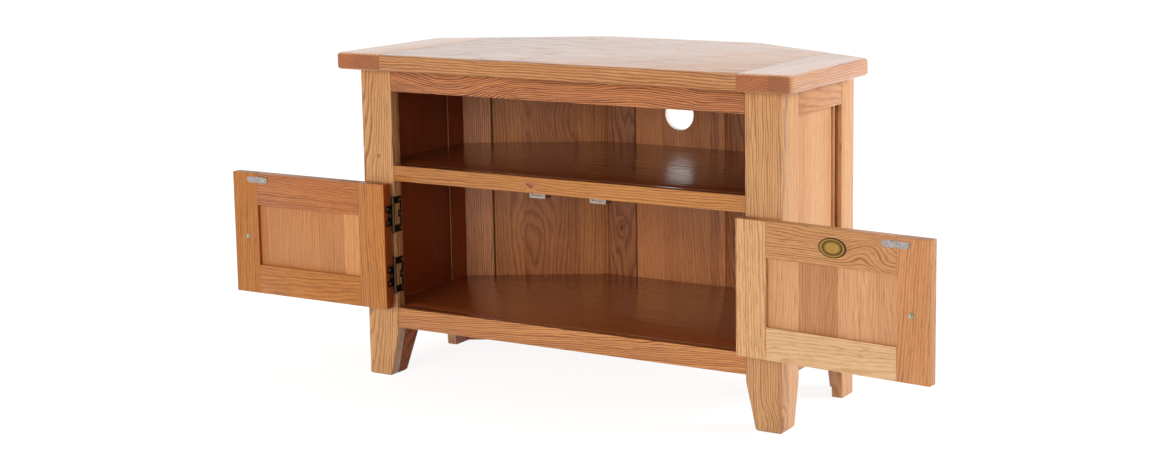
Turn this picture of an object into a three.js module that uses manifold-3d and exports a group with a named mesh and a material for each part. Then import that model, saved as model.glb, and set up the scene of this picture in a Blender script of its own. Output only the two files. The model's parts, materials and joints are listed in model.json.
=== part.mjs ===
// Corner television cabinet in oak: a six-sided top, an open shelf bay above a cupboard
// with two framed doors, legs glued up from boards, and a back boarded round the corner.
// Millimetres. X runs along the front, Y runs back towards the corner, Z runs up.
// The right half is drawn, and a mirrored group repeats it on the left.
import * as THREE from "three";
import { mergeVertices } from "three/addons/utils/BufferGeometryUtils.js";
import Module from "manifold-3d";

const wasm = await Module();
wasm.setup();

// Whole cabinet
const width = 900;
const depth = 465;
const height = 590;
const backWidth = 328;
const slantDegrees = 30;
const glueLine = 0.3;
const overrun = 6;
const roundSteps = 4;

// Top, with a cleat across each end
const topThickness = 30;
const topFrontOverhang = 30;
const topSideOverhang = 32;
const topEase = 6;
const topCornerRadius = 10;
const topCornerSides = 48;
const cleatWidth = 97;
const cleatTongueLength = 12;
const cleatTongueThickness = 10;
const cleatTongueShoulder = 25;

// Front legs: a front board, a side board and a block in the foot
const legSize = 65;
const legFrontThickness = 22;
const legSideThickness = 20;
const legEase = 1.5;
const footTaperHeight = 84;
const footTaper = 18;
const footChamfer = 3;

// Rear legs: a side board mitred to a wing along the slanted side
const rearLegWidth = 55;
const rearLegChamfer = 5.5;
const rearFootTaper = 7;
const wingWidth = 54;
const wingThickness = 16;
const wingFootTaper = 18;

// Rails
const railSetback = 1;
const topRailHeight = 39;
const bottomRailHeight = 36.5;
const clearUnderBody = 92;
const sideTopRailHeight = 46;
const sideBottomRailHeight = 38;

// Shelf and cupboard floor
const shelfHeight = 388.5;
const shelfThickness = 28;
const floorThickness = 16;

// Side panel, with a bead down its rear edge
const sidePanelRecess = 8;
const sidePanelThickness = 9;
const sidePanelTongue = 5;
const beadGroove = 12.5;
const beadWidth = 5.5;
const beadQuirk = 8;
const beadDepth = 5;

// Back boards, tongued together
const backInset = 18;
const backThickness = 12;
const backBoardSplit = 97;
const backTongueThickness = 4;
const backTongueLength = 5;
const backVee = 2;
const cableHoleRadius = 30;
const cableHoleRiseShare = 0.2825;
const cableHoleSides = 32;

// Doors
const doorThickness = 20;
const doorSideGap = 2;
const doorMiddleGap = 4;
const doorEndGap = 3;
const doorEase = 1;
const stileWidth = 57;
const doorTopRailHeight = 59;
const doorBottomRailHeight = 54;
const doorPanelThickness = 7;
const doorPanelGroove = 8;
const tenonHeight = 30;
const leftOpenDegrees = 180;
const rightOpenDegrees = 174.6;

// Hinges
const pinReach = 5;
const pinRadius = 1.5;
const pinBoreRadius = 1.8;
const pinHeadRadius = 2.4;
const pinHeadHeight = 1;
const knuckleRadius = 2.75;
const knuckleSides = 16;
const leafThickness = 1.2;
const leafHeight = 64;
const leafDepth = 19;
const leafWindowHeight = 39;
const leafWindowDepth = 16;
const leafTabHeight = 12;
const leafTabLength = 5.5;
const leafClearance = 1;
const hingeEndShare = 0.2566;

// Knobs
const knobFromEdge = 32;
const knobDrop = 6.5;
const knobRadius = 16;
const knobLength = 26;
const knobHeadLength = 15;
const knobNeckRadius = 7;
const knobFootRadius = 9.5;
const knobSteps = 8;
const knobSides = 24;
const screwRadius = 2;
const screwHeadRadius = 5;
const screwHeadHeight = 1.6;
const screwGrip = 14;

// Strike plates and magnetic catches
const plateWidth = 47;
const plateHeight = 11;
const plateThickness = 1.2;
const plateCornerShare = 0.42;
const plateFromEdge = 59;
const plateDrop = 12;
const catchWidth = 32;
const catchHeight = 12;
const catchDepth = 20;
const catchSlotHeight = 3;
const catchSlotDepth = 2;
const catchSlotMargin = 4;

// Oval plaque inside the right door
const plaqueWidth = 50;
const plaqueHeight = 32;
const plaqueThickness = 1.2;
const plaqueFromHinge = 179;
const plaqueDrop = 29.5;
const plaqueSteps = 32;

// Places worked out from the sizes above
const slant = THREE.MathUtils.degToRad(slantDegrees);
const halfWidth = width / 2;
const topFront = -topFrontOverhang;
const topBack = depth - topFrontOverhang;
const topSideEnd = topBack - (halfWidth - backWidth / 2) * Math.tan(slant);
const underTop = height - topThickness;
const bodyTop = underTop - glueLine;
const outerFace = halfWidth - topSideOverhang;
const sideInner = outerFace - legSideThickness;
const openingHalf = outerFace - legSize;
const footSize = legSize - footTaper;
const frameBack = legFrontThickness;
const shelfUnder = shelfHeight - shelfThickness;
const floorHeight = clearUnderBody + bottomRailHeight;
const floorUnder = floorHeight - floorThickness;
const sidePanelOuter = outerFace - sidePanelRecess;
const sidePanelInner = sidePanelOuter - sidePanelThickness;
const backInner = topBack - backInset;
const backOuter = backInner + backThickness;
const panelInset = backInset - backThickness;
const wingInset = backInset - wingThickness;
const legCorner = [sideInner, slantY(sideInner, backInset)];
const rearCorner = [outerFace, slantY(outerFace, wingInset)];
const rearLegFront = rearCorner[1] - rearLegWidth;
const doorBottom = floorHeight + doorEndGap;
const doorTop = shelfUnder - doorEndGap;
const doorHeight = doorTop - doorBottom;
const pinPlace = [openingHalf - doorSideGap / 2, -pinReach];
const doorHingeEdge = -doorSideGap / 2;
const doorFreeEdge = doorMiddleGap / 2 - pinPlace[0];
const doorFront = pinReach;
const doorBack = doorFront + doorThickness;
const knobHeight = (doorBottom + doorTop) / 2 - knobDrop;
const spareBayHeight = underTop - shelfHeight - 2 * cableHoleRadius;
const cableHoleHeight =
  shelfHeight + cableHoleRadius + spareBayHeight * cableHoleRiseShare;

// The origin is on the floor, midway between the back of the top and the furthest
// forward corner of the part as it stands, which is the free edge of the right door.
const rightOpen = THREE.MathUtils.degToRad(rightOpenDegrees);
const doorReach =
  pinReach - doorFreeEdge * Math.sin(rightOpen) - doorBack * Math.cos(rightOpen);
const originBehindLegs = (topBack - doorReach) / 2;

// Materials
const oakTop = oak(0xdcc0a4, 0.42);
const oakCleat = oak(0xd9b896, 0.42);
const oakLeg = oak(0xcb9a68, 0.5);
const oakSide = oak(0xe2b98c, 0.5);
const oakRail = oak(0xc4895a, 0.5);
const oakShelf = oak(0x7a4526, 0.35);
const oakBack = oak(0x9a6440, 0.55);
const oakDoor = oak(0xc58b58, 0.5);
const oakDoorPanel = oak(0xcf9468, 0.5);
const darkMetal = metal(0x1a1512, 0.4);
const greySteel = metal(0xa9a3a5, 0.45);
const plaqueMetal = metal(0x5a4a2c, 0.45);

function oak(color, roughness) {
  return new THREE.MeshStandardMaterial({ color, roughness, metalness: 0 });
}

function metal(color, roughness) {
  return new THREE.MeshStandardMaterial({ color, roughness, metalness: 0.9 });
}

// The Y of a line parallel to the top's slanted side edge, inset into the body, at an X.
function slantY(x, inset) {
  return topSideEnd + (halfWidth - x) * Math.tan(slant) - inset / Math.cos(slant);
}

// The X of the same line at a Y.
function slantX(y, inset) {
  return halfWidth - (y - topSideEnd + inset / Math.cos(slant)) / Math.tan(slant);
}

// A point moved along the slanted side, towards the back, and outwards from it.
function alongSlant([x, y], along, outwards = 0) {
  return [
    x - along * Math.cos(slant) + outwards * Math.sin(slant),
    y + along * Math.sin(slant) + outwards * Math.cos(slant),
  ];
}

// An outline through points, with its corners rounded.
function outline(points, radius = 0) {
  const corners = points.map(([x, y]) => new THREE.Vector2(x, y));
  if (radius === 0) return new THREE.Shape(corners);
  const towards = (from, to) =>
    to.clone().sub(from).setLength(radius).add(from);
  const shape = new THREE.Shape();
  corners.forEach((corner, i) => {
    const before = corners.at(i - 1);
    const after = corners[(i + 1) % corners.length];
    const start = towards(corner, before);
    const end = towards(corner, after);
    if (i === 0) shape.moveTo(start.x, start.y);
    else shape.lineTo(start.x, start.y);
    shape.quadraticCurveTo(corner.x, corner.y, end.x, end.y);
  });
  return shape;
}

// A shape extruded from one level to another, with its edges eased.
function extrusion(shape, from, to, ease = 0) {
  const options = {
    depth: to - from - 2 * ease,
    curveSegments: roundSteps,
    bevelEnabled: ease > 0,
    bevelThickness: ease,
    bevelSize: ease,
    bevelOffset: -ease,
    bevelSegments: roundSteps,
  };
  return new THREE.ExtrudeGeometry(shape, options).translate(0, 0, from + ease);
}

// A closed geometry as a solid that can be joined and cut.
function solidOf(geometry) {
  geometry.deleteAttribute("normal");
  geometry.deleteAttribute("uv");
  const merged = mergeVertices(geometry);
  return new wasm.Manifold(
    new wasm.Mesh({
      numProp: 3,
      vertProperties: merged.getAttribute("position").array,
      triVerts: new Uint32Array(merged.index.array),
    }),
  );
}

// A plan outline (X, Y) standing between two heights.
function upright(shape, bottom, top, ease) {
  return solidOf(extrusion(shape, bottom, top, ease));
}

// A front outline (X, Z) running from a front face to a back face.
function frontal(shape, front, back, ease) {
  return solidOf(frontalGeometry(shape, front, back, ease));
}

function frontalGeometry(shape, front, back, ease) {
  const basis = new THREE.Matrix4().makeBasis(
    new THREE.Vector3(1, 0, 0),
    new THREE.Vector3(0, 0, 1),
    new THREE.Vector3(0, -1, 0),
  );
  return extrusion(shape, -back, -front, ease).applyMatrix4(basis);
}

// A side outline (Y, Z) running from a left face to a right face.
function lateral(shape, left, right) {
  const basis = new THREE.Matrix4().makeBasis(
    new THREE.Vector3(0, 1, 0),
    new THREE.Vector3(0, 0, 1),
    new THREE.Vector3(1, 0, 0),
  );
  return solidOf(extrusion(shape, left, right).applyMatrix4(basis));
}

// A box from three ranges.
function block(xs, ys, zs) {
  const ranges = [xs, ys, zs];
  const size = ranges.map(([low, high]) => high - low);
  const centre = ranges.map(([low, high]) => (low + high) / 2);
  return solidOf(new THREE.BoxGeometry(...size).translate(...centre));
}

function grown([low, high], by) {
  return [low - by, high + by];
}

// A round bar along Z, centred on a point of the plan.
function roundBar(radius, sides, [x, y], bottom, top) {
  const bar = new THREE.CylinderGeometry(radius, radius, top - bottom, sides);
  return solidOf(bar.rotateX(Math.PI / 2).translate(x, y, (bottom + top) / 2));
}

// A round bar along Y, centred on a point of the front view.
function crossBar(radius, sides, [x, z], front, back) {
  const bar = new THREE.CylinderGeometry(radius, radius, back - front, sides);
  return solidOf(bar.translate(x, (front + back) / 2, z));
}

// A solid as a named mesh, drawn about its own middle and placed by its position.
function addPiece(group, name, solid, material) {
  const { vertProperties, triVerts } = solid.getMesh();
  const geometry = new THREE.BufferGeometry();
  geometry.setAttribute("position", new THREE.BufferAttribute(vertProperties, 3));
  geometry.setIndex(new THREE.BufferAttribute(triVerts, 1));
  geometry.computeBoundingBox();
  const centre = geometry.boundingBox.getCenter(new THREE.Vector3());
  geometry.translate(-centre.x, -centre.y, -centre.z);
  const flat = geometry.toNonIndexed();
  flat.computeVertexNormals();
  const mesh = new THREE.Mesh(flat, material);
  mesh.name = name;
  mesh.position.copy(centre);
  group.add(mesh);
}

// A slab over a convex outline, stretched round a disc with eased edges in each corner.
function roundedSlab(corners) {
  const profile = new THREE.Path();
  profile.moveTo(0, underTop);
  profile.lineTo(topCornerRadius - topEase, underTop);
  const core = topCornerRadius - topEase;
  profile.absarc(core, underTop + topEase, topEase, -Math.PI / 2, 0);
  profile.absarc(core, height - topEase, topEase, 0, Math.PI / 2);
  profile.lineTo(0, height);
  const disc = new THREE.LatheGeometry(profile.getPoints(roundSteps), topCornerSides);
  const puck = solidOf(disc.rotateX(Math.PI / 2));
  const middles = corners.map(([x, y], i) => {
    const corner = new THREE.Vector2(x, y);
    const back = new THREE.Vector2(...corners.at(i - 1)).sub(corner).normalize();
    const ahead = new THREE.Vector2(...corners[(i + 1) % corners.length]);
    ahead.sub(corner).normalize();
    const stretch = topCornerRadius / Math.abs(back.cross(ahead));
    return corner.addScaledVector(back.add(ahead), stretch);
  });
  return wasm.Manifold.hull(middles.map(({ x, y }) => puck.translate(x, y, 0)));
}

// The top: a wide panel with a cleat tongued across each end.
function addTop(group) {
  const seam = halfWidth - cleatWidth;
  const corners = [
    [-halfWidth, topFront],
    [halfWidth, topFront],
    [halfWidth, topSideEnd],
    [backWidth / 2, topBack],
    [-backWidth / 2, topBack],
    [-halfWidth, topSideEnd],
  ];
  const whole = roundedSlab(corners);
  const middle = underTop + topThickness / 2;
  const past = [topFront - overrun, topBack + overrun];
  const through = [underTop - overrun, height + overrun];
  const tongueYs = [
    topFront + cleatTongueShoulder,
    slantY(seam + cleatTongueLength, 0) - cleatTongueShoulder,
  ];
  const tongueZs = grown([middle, middle], cleatTongueThickness / 2);
  const inside = seam - cleatTongueLength;
  const outside = seam + cleatTongueLength;
  const face = seam - glueLine / 2;
  const panel = whole
    .intersect(block([-face, face], past, through))
    .add(block([inside, outside], tongueYs, tongueZs))
    .add(block([-outside, -inside], tongueYs, tongueZs));
  addPiece(group, "top_panel", panel, oakTop);
  const groove = block(
    [inside, outside + glueLine],
    grown(tongueYs, glueLine),
    grown(tongueZs, glueLine),
  );
  return whole
    .intersect(block([seam + glueLine / 2, halfWidth + overrun], past, through))
    .subtract(groove);
}

// The pocket that the side panel's tongues sit in, cut from the legs and rails round it.
function sidePanelPocket() {
  const reach = sidePanelTongue + glueLine;
  return block(
    grown([sidePanelInner, sidePanelOuter], glueLine),
    grown([legSize, rearLegFront], reach),
    grown([clearUnderBody + sideBottomRailHeight, underTop - sideTopRailHeight], reach),
  );
}

// A front leg: one square post, tapered on its two inner faces, divided into its boards.
function addFrontLeg(group, side, pocket) {
  const footInner = outerFace - footSize;
  const frontOutline = outline([
    [openingHalf, footTaperHeight],
    [footInner, footChamfer],
    [footInner + footChamfer, 0],
    [outerFace - footChamfer, 0],
    [outerFace, footChamfer],
    [outerFace, bodyTop],
    [openingHalf, bodyTop],
  ]);
  const sideOutline = outline([
    [0, footChamfer],
    [footChamfer, 0],
    [footSize - footChamfer, 0],
    [footSize, footChamfer],
    [legSize, footTaperHeight],
    [legSize, bodyTop],
    [0, bodyTop],
  ]);
  const planOutline = outline(
    [
      [openingHalf, 0],
      [outerFace, 0],
      [outerFace, legSize],
      [openingHalf, legSize],
    ],
    legEase,
  );
  const post = frontal(frontOutline, 0, legSize)
    .intersect(lateral(sideOutline, openingHalf, outerFace))
    .intersect(upright(planOutline, 0, bodyTop));
  const across = grown([openingHalf, outerFace], overrun);
  const tall = grown([0, bodyTop], overrun);
  const behind = [frameBack + glueLine / 2, legSize + overrun];
  const front = post.intersect(block(across, [-overrun, frameBack - glueLine / 2], tall));
  const sideBoard = post
    .intersect(block([sideInner, outerFace + overrun], behind, tall))
    .subtract(pocket);
  const footBlock = post.intersect(
    block(
      [openingHalf - overrun, sideInner - glueLine],
      behind,
      [-overrun, floorUnder - glueLine],
    ),
  );
  addPiece(group, `front_leg_${side}`, front, oakLeg);
  addPiece(group, `front_leg_side_${side}`, sideBoard, oakSide);
  addPiece(group, `front_foot_block_${side}`, footBlock, oakLeg);
}

// A rear leg: a side board mitred to a wing along the slant, with the arris taken off.
function addRearLeg(group, side, pocket) {
  const chamferStart = [outerFace, rearCorner[1] - rearLegChamfer];
  const chamferEnd = alongSlant(rearCorner, rearLegChamfer);
  const mitreEnd = [
    (chamferStart[0] + chamferEnd[0]) / 2,
    (chamferStart[1] + chamferEnd[1]) / 2,
  ];
  const boardOutline = outline([
    [sideInner, rearLegFront],
    [outerFace, rearLegFront],
    chamferStart,
    mitreEnd,
    legCorner,
  ]);
  const taperOutline = outline([
    [rearLegFront + rearFootTaper, 0],
    [rearCorner[1] + overrun, 0],
    [rearCorner[1] + overrun, bodyTop],
    [rearLegFront, bodyTop],
    [rearLegFront, footTaperHeight],
  ]);
  const board = upright(boardOutline, 0, bodyTop)
    .intersect(lateral(taperOutline, sideInner, outerFace))
    .subtract(pocket);
  addPiece(group, `rear_leg_${side}`, board, oakSide);

  const grooveStart = backThickness / 2 - backTongueThickness / 2 - glueLine;
  const grooveEnd = backThickness / 2 + backTongueThickness / 2 + glueLine;
  const grooveFloor = wingWidth - backTongueLength - glueLine;
  const wingOutline = outline([
    alongSlant(legCorner, glueLine),
    alongSlant(mitreEnd, glueLine),
    alongSlant(chamferEnd, glueLine),
    alongSlant(legCorner, wingWidth, wingThickness),
    alongSlant(legCorner, wingWidth, grooveEnd),
    alongSlant(legCorner, grooveFloor, grooveEnd),
    alongSlant(legCorner, grooveFloor, grooveStart),
    alongSlant(legCorner, wingWidth, grooveStart),
    alongSlant(legCorner, wingWidth, backVee),
    alongSlant(legCorner, wingWidth - backVee),
  ]);
  const faceOutline = outline([
    [-wingThickness, 0],
    [wingWidth - wingFootTaper, 0],
    [wingWidth, footTaperHeight],
    [wingWidth, bodyTop],
    [-wingThickness, bodyTop],
  ]);
  const faceCut = frontalGeometry(faceOutline, -wingThickness - overrun, overrun)
    .rotateZ(Math.PI - slant)
    .translate(legCorner[0], legCorner[1], 0);
  const wing = upright(wingOutline, 0, bodyTop).intersect(solidOf(faceCut));
  addPiece(group, `rear_leg_wing_${side}`, wing, oakLeg);
}

// The rails and the framed panel of one side.
function addSideFrame(group, side, pocket) {
  const ys = [legSize + glueLine, rearLegFront - glueLine];
  const xs = [sideInner, outerFace];
  const bottomRailTop = clearUnderBody + sideBottomRailHeight;
  const topRailUnder = underTop - sideTopRailHeight;
  const topRail = block(xs, ys, [topRailUnder, bodyTop]).subtract(pocket);
  const bottomRail = block(xs, ys, [clearUnderBody, bottomRailTop]).subtract(pocket);
  addPiece(group, `side_top_rail_${side}`, topRail, oakSide);
  addPiece(group, `side_bottom_rail_${side}`, bottomRail, oakSide);

  const quirkStart = rearLegFront - beadQuirk;
  const beadStart = quirkStart - beadWidth;
  const grooveStart = beadStart - beadGroove;
  const sunk = sidePanelOuter - beadDepth;
  const shape = new THREE.Shape();
  shape.moveTo(sidePanelInner, legSize - sidePanelTongue);
  shape.lineTo(sidePanelOuter, legSize - sidePanelTongue);
  shape.lineTo(sidePanelOuter, grooveStart);
  shape.lineTo(sunk, grooveStart);
  shape.lineTo(sunk, beadStart);
  shape.absellipse(
    sunk,
    beadStart + beadWidth / 2,
    beadDepth,
    beadWidth / 2,
    -Math.PI / 2,
    Math.PI / 2,
  );
  shape.lineTo(sunk, rearLegFront + sidePanelTongue);
  shape.lineTo(sidePanelInner, rearLegFront + sidePanelTongue);
  const panel = upright(
    shape,
    bottomRailTop - sidePanelTongue,
    topRailUnder + sidePanelTongue,
  );
  addPiece(group, `side_panel_${side}`, panel, oakSide);
}

// The rails across the front and the edge of the shelf, between the legs.
function addFrontRails(group) {
  const reach = openingHalf - glueLine;
  const xs = [-reach, reach];
  const ys = [railSetback, frameBack - glueLine];
  const topRail = block(xs, ys, [underTop - topRailHeight, bodyTop]);
  const shelfEdge = block(xs, ys, [shelfUnder, shelfHeight]);
  const bottomRail = block(xs, ys, [clearUnderBody, floorHeight]);
  addPiece(group, "front_top_rail", topRail, oakRail);
  addPiece(group, "shelf_front_edge", shelfEdge, oakRail);
  addPiece(group, "front_bottom_rail", bottomRail, oakRail);
}

// The outline of a deck that fills the body, reaching out to the sides between the legs.
function deckOutline(sideReach) {
  const legReach = sideInner - glueLine;
  const inset = backInset + glueLine;
  const deckBack = backInner - glueLine;
  const right = [
    [legReach, frameBack + glueLine],
    [legReach, legSize + glueLine],
    [sideReach, legSize + glueLine],
    [sideReach, rearLegFront - glueLine],
    [legReach, rearLegFront - glueLine],
    [legReach, slantY(legReach, inset)],
    [slantX(deckBack, inset), deckBack],
  ];
  const left = right.map(([x, y]) => [-x, y]).reverse();
  return outline([...right, ...left]);
}

// The shelf reaches the side panels, and the cupboard floor lies between the side rails.
function addDecks(group) {
  const shelf = deckOutline(sidePanelInner - glueLine);
  const floor = deckOutline(sideInner - glueLine);
  addPiece(group, "shelf_panel", upright(shelf, shelfUnder, shelfHeight), oakShelf);
  addPiece(group, "bottom_panel", upright(floor, floorUnder, floorHeight), oakShelf);
}

// The corner where the slanted board meets the back boards, inside and outside.
function backCorner() {
  return {
    inside: [slantX(backInner, backInset), backInner],
    outside: [slantX(backOuter, panelInset), backOuter],
  };
}

// The slanted board: tongued into the wing, mitred to the back boards.
function addSlantedBoard(group, side) {
  const { inside, outside } = backCorner();
  const start = wingWidth + glueLine;
  const tongueNear = backThickness / 2 - backTongueThickness / 2;
  const tongueFar = backThickness / 2 + backTongueThickness / 2;
  const tongueEnd = wingWidth - backTongueLength;
  const shape = outline([
    alongSlant(legCorner, start + backVee),
    alongSlant(legCorner, start, backVee),
    alongSlant(legCorner, start, tongueNear),
    alongSlant(legCorner, tongueEnd, tongueNear),
    alongSlant(legCorner, tongueEnd, tongueFar),
    alongSlant(legCorner, start, tongueFar),
    alongSlant(legCorner, start, backThickness),
    alongSlant(outside, -glueLine),
    alongSlant(inside, -glueLine),
  ]);
  addPiece(group, `angled_back_${side}`, upright(shape, clearUnderBody, bodyTop), oakBack);
}

// A back board between the mitred corner and the middle board.
function addOuterBackBoard(group, side) {
  const { inside, outside } = backCorner();
  const edge = backBoardSplit + glueLine;
  const grooveFloor = edge + backTongueLength + glueLine;
  const middle = backInner + backThickness / 2;
  const [grooveNear, grooveFar] = grown([middle, middle], backTongueThickness / 2 + glueLine);
  const shape = outline([
    [edge + backVee, backInner],
    [edge, backInner + backVee],
    [edge, grooveNear],
    [grooveFloor, grooveNear],
    [grooveFloor, grooveFar],
    [edge, grooveFar],
    [edge, backOuter],
    [outside[0] - glueLine, backOuter],
    [inside[0] - glueLine, backInner],
  ]);
  addPiece(group, `back_board_${side}`, upright(shape, clearUnderBody, bodyTop), oakBack);
}

// The middle back board, with the cable hole.
function addCentreBackBoard(group) {
  const middle = backInner + backThickness / 2;
  const [tongueNear, tongueFar] = grown([middle, middle], backTongueThickness / 2);
  const tongueEnd = backBoardSplit + backTongueLength;
  const right = [
    [backBoardSplit - backVee, backInner],
    [backBoardSplit, backInner + backVee],
    [backBoardSplit, tongueNear],
    [tongueEnd, tongueNear],
    [tongueEnd, tongueFar],
    [backBoardSplit, tongueFar],
    [backBoardSplit, backOuter],
  ];
  const left = right.map(([x, y]) => [-x, y]).reverse();
  const hole = crossBar(
    cableHoleRadius,
    cableHoleSides,
    [0, cableHoleHeight],
    backInner - overrun,
    backOuter + overrun,
  );
  const board = upright(outline([...right, ...left]), clearUnderBody, bodyTop);
  addPiece(group, "back_board_centre", board.subtract(hole), oakBack);
}

// The wooden frame and panel of a door. Here the origin is the hinge pin's axis, X runs
// from the free edge to the hinge edge, and the door's outer face looks along minus Y.
function addDoorFrame(door, side, screwHole) {
  const face = outline([
    [doorFreeEdge, doorBottom],
    [doorHingeEdge, doorBottom],
    [doorHingeEdge, doorTop],
    [doorFreeEdge, doorTop],
  ]);
  const blank = frontal(face, doorFront, doorBack, doorEase);
  const middle = doorFront + doorThickness / 2;
  const panelYs = grown([middle, middle], doorPanelThickness / 2);
  const tongueYs = grown(panelYs, glueLine);
  const hingeShoulder = doorHingeEdge - stileWidth;
  const freeShoulder = doorFreeEdge + stileWidth;
  const topShoulder = doorTop - doorTopRailHeight;
  const bottomShoulder = doorBottom + doorBottomRailHeight;
  const openXs = [freeShoulder, hingeShoulder];
  const openZs = [bottomShoulder, topShoulder];
  const ys = grown([doorFront, doorBack], overrun);
  const zs = grown([doorBottom, doorTop], overrun);
  const grooveXs = grown(openXs, doorPanelGroove);
  const panelGroove = block(grooveXs, tongueYs, grown(openZs, doorPanelGroove));
  const stileGroove = block(grooveXs, tongueYs, grown(openZs, tenonHeight));
  const hingeStile = blank
    .intersect(block([hingeShoulder, doorHingeEdge + overrun], ys, zs))
    .subtract(stileGroove);
  const freeStile = blank
    .intersect(block([doorFreeEdge - overrun, freeShoulder], ys, zs))
    .subtract(stileGroove)
    .subtract(screwHole);
  const between = grown(openXs, -glueLine);
  const tenonXs = grown(openXs, doorPanelGroove - glueLine);
  const rail = (railZs, tenonZs) =>
    blank
      .intersect(block(between, ys, railZs))
      .add(block(tenonXs, panelYs, grown(tenonZs, -glueLine)))
      .subtract(panelGroove);
  const topRail = rail(
    [topShoulder, doorTop + overrun],
    [topShoulder, topShoulder + tenonHeight],
  );
  const bottomRail = rail(
    [doorBottom - overrun, bottomShoulder],
    [bottomShoulder - tenonHeight, bottomShoulder],
  );
  const seat = doorPanelGroove - glueLine;
  const panel = block(grown(openXs, seat), panelYs, grown(openZs, seat));
  addPiece(door, `door_hinge_stile_${side}`, hingeStile, oakDoor);
  addPiece(door, `door_free_stile_${side}`, freeStile, oakDoor);
  addPiece(door, `door_top_rail_${side}`, topRail, oakDoor);
  addPiece(door, `door_bottom_rail_${side}`, bottomRail, oakDoor);
  addPiece(door, `door_panel_${side}`, panel, oakDoorPanel);
}

// A turned knob, held by a screw through the free stile.
function addKnob(door, side, knobPlace) {
  const foot = doorFront - glueLine;
  const tip = foot - knobLength;
  const headMiddle = tip + knobHeadLength / 2;
  const profile = new THREE.Path();
  profile.moveTo(0, tip);
  profile.absellipse(0, headMiddle, knobRadius, knobHeadLength / 2, -Math.PI / 2, Math.PI / 4);
  profile.quadraticCurveTo(
    knobNeckRadius,
    tip + knobHeadLength,
    knobNeckRadius,
    (tip + knobHeadLength + foot) / 2,
  );
  profile.quadraticCurveTo(knobNeckRadius, foot, knobFootRadius, foot);
  profile.lineTo(0, foot);
  const turned = new THREE.LatheGeometry(profile.getPoints(knobSteps), knobSides);
  const bore = crossBar(
    screwRadius + glueLine,
    knobSides,
    knobPlace,
    foot - screwGrip - glueLine,
    foot + overrun,
  );
  const knob = solidOf(turned.translate(knobPlace[0], 0, knobPlace[1])).subtract(bore);
  const headStart = doorBack + glueLine;
  const shank = crossBar(screwRadius, knobSides, knobPlace, foot - screwGrip, headStart);
  const head = crossBar(
    screwHeadRadius,
    knobSides,
    knobPlace,
    headStart,
    headStart + screwHeadHeight,
  );
  addPiece(door, `knob_${side}`, knob, oakDoor);
  addPiece(door, `knob_screw_${side}`, shank.add(head), greySteel);
}

// The steel plate that the magnetic catch holds, on the door's inner face.
function addStrikePlate(door, side) {
  const x = doorFreeEdge + plateFromEdge;
  const z = doorTop - plateDrop;
  const [left, right] = grown([x, x], plateWidth / 2);
  const [low, high] = grown([z, z], plateHeight / 2);
  const shape = outline(
    [
      [left, low],
      [right, low],
      [right, high],
      [left, high],
    ],
    plateCornerShare * plateHeight,
  );
  const face = doorBack + glueLine;
  addPiece(door, `strike_plate_${side}`, frontal(shape, face, face + plateThickness), greySteel);
}

// The bare oval plaque on the right door's top rail.
function addPlaque(door) {
  const shape = new THREE.Shape();
  shape.absellipse(
    doorHingeEdge - plaqueFromHinge,
    doorTop - plaqueDrop,
    plaqueWidth / 2,
    plaqueHeight / 2,
    0,
    2 * Math.PI,
  );
  const ring = new THREE.Shape(shape.getPoints(plaqueSteps));
  const face = doorBack + glueLine;
  addPiece(door, "oval_plaque", frontal(ring, face, face + plaqueThickness), plaqueMetal);
}

// One flush hinge. In both groups the origin is the middle of the pin, and the frame leaf
// and the door leaf lie in the gap between leg and door, one inside the other when shut.
function addHinge(frameSide, doorSide, name) {
  const gapHalf = doorSideGap / 2;
  const frameXs = [gapHalf - glueLine - leafThickness, gapHalf - glueLine];
  const doorXs = [glueLine - gapHalf, glueLine - gapHalf + leafThickness];
  const top = leafHeight / 2;
  const windowTop = leafWindowHeight / 2;
  const tabTop = leafTabHeight / 2;
  const back = pinReach + leafDepth;
  const windowBack = pinReach + leafWindowDepth;
  const tabFront = windowBack - leafTabLength;
  const frameOutline = outline([
    [0, top],
    [0, windowTop],
    [windowBack, windowTop],
    [windowBack, tabTop],
    [tabFront, tabTop],
    [tabFront, -tabTop],
    [windowBack, -tabTop],
    [windowBack, -windowTop],
    [0, -windowTop],
    [0, -top],
    [back, -top],
    [back, top],
  ]);
  const bore = roundBar(pinBoreRadius, knuckleSides, [0, 0], -top - overrun, top + overrun);
  const frameLeaf = lateral(frameOutline, ...frameXs)
    .add(roundBar(knuckleRadius, knuckleSides, [0, 0], windowTop, top))
    .add(roundBar(knuckleRadius, knuckleSides, [0, 0], -top, -windowTop))
    .subtract(bore);
  const doorLeafTop = windowTop - leafClearance;
  const notchTop = tabTop + leafClearance;
  const doorLeafBack = windowBack - leafClearance;
  const notchFront = tabFront - leafClearance;
  const doorOutline = outline([
    [0, doorLeafTop],
    [0, -doorLeafTop],
    [doorLeafBack, -doorLeafTop],
    [doorLeafBack, -notchTop],
    [notchFront, -notchTop],
    [notchFront, notchTop],
    [doorLeafBack, notchTop],
    [doorLeafBack, doorLeafTop],
  ]);
  const doorLeaf = lateral(doorOutline, ...doorXs)
    .add(roundBar(knuckleRadius, knuckleSides, [0, 0], -doorLeafTop, doorLeafTop))
    .subtract(bore);
  const headSeat = top + glueLine;
  const headEnd = headSeat + pinHeadHeight;
  const pin = roundBar(pinRadius, knuckleSides, [0, 0], -headEnd, headEnd)
    .add(roundBar(pinHeadRadius, knuckleSides, [0, 0], headSeat, headEnd))
    .add(roundBar(pinHeadRadius, knuckleSides, [0, 0], -headEnd, -headSeat));
  addPiece(frameSide, `hinge_frame_leaf_${name}`, frameLeaf, darkMetal);
  addPiece(doorSide, `hinge_door_leaf_${name}`, doorLeaf, darkMetal);
  addPiece(frameSide, `hinge_pin_${name}`, pin, darkMetal);
}

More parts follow.
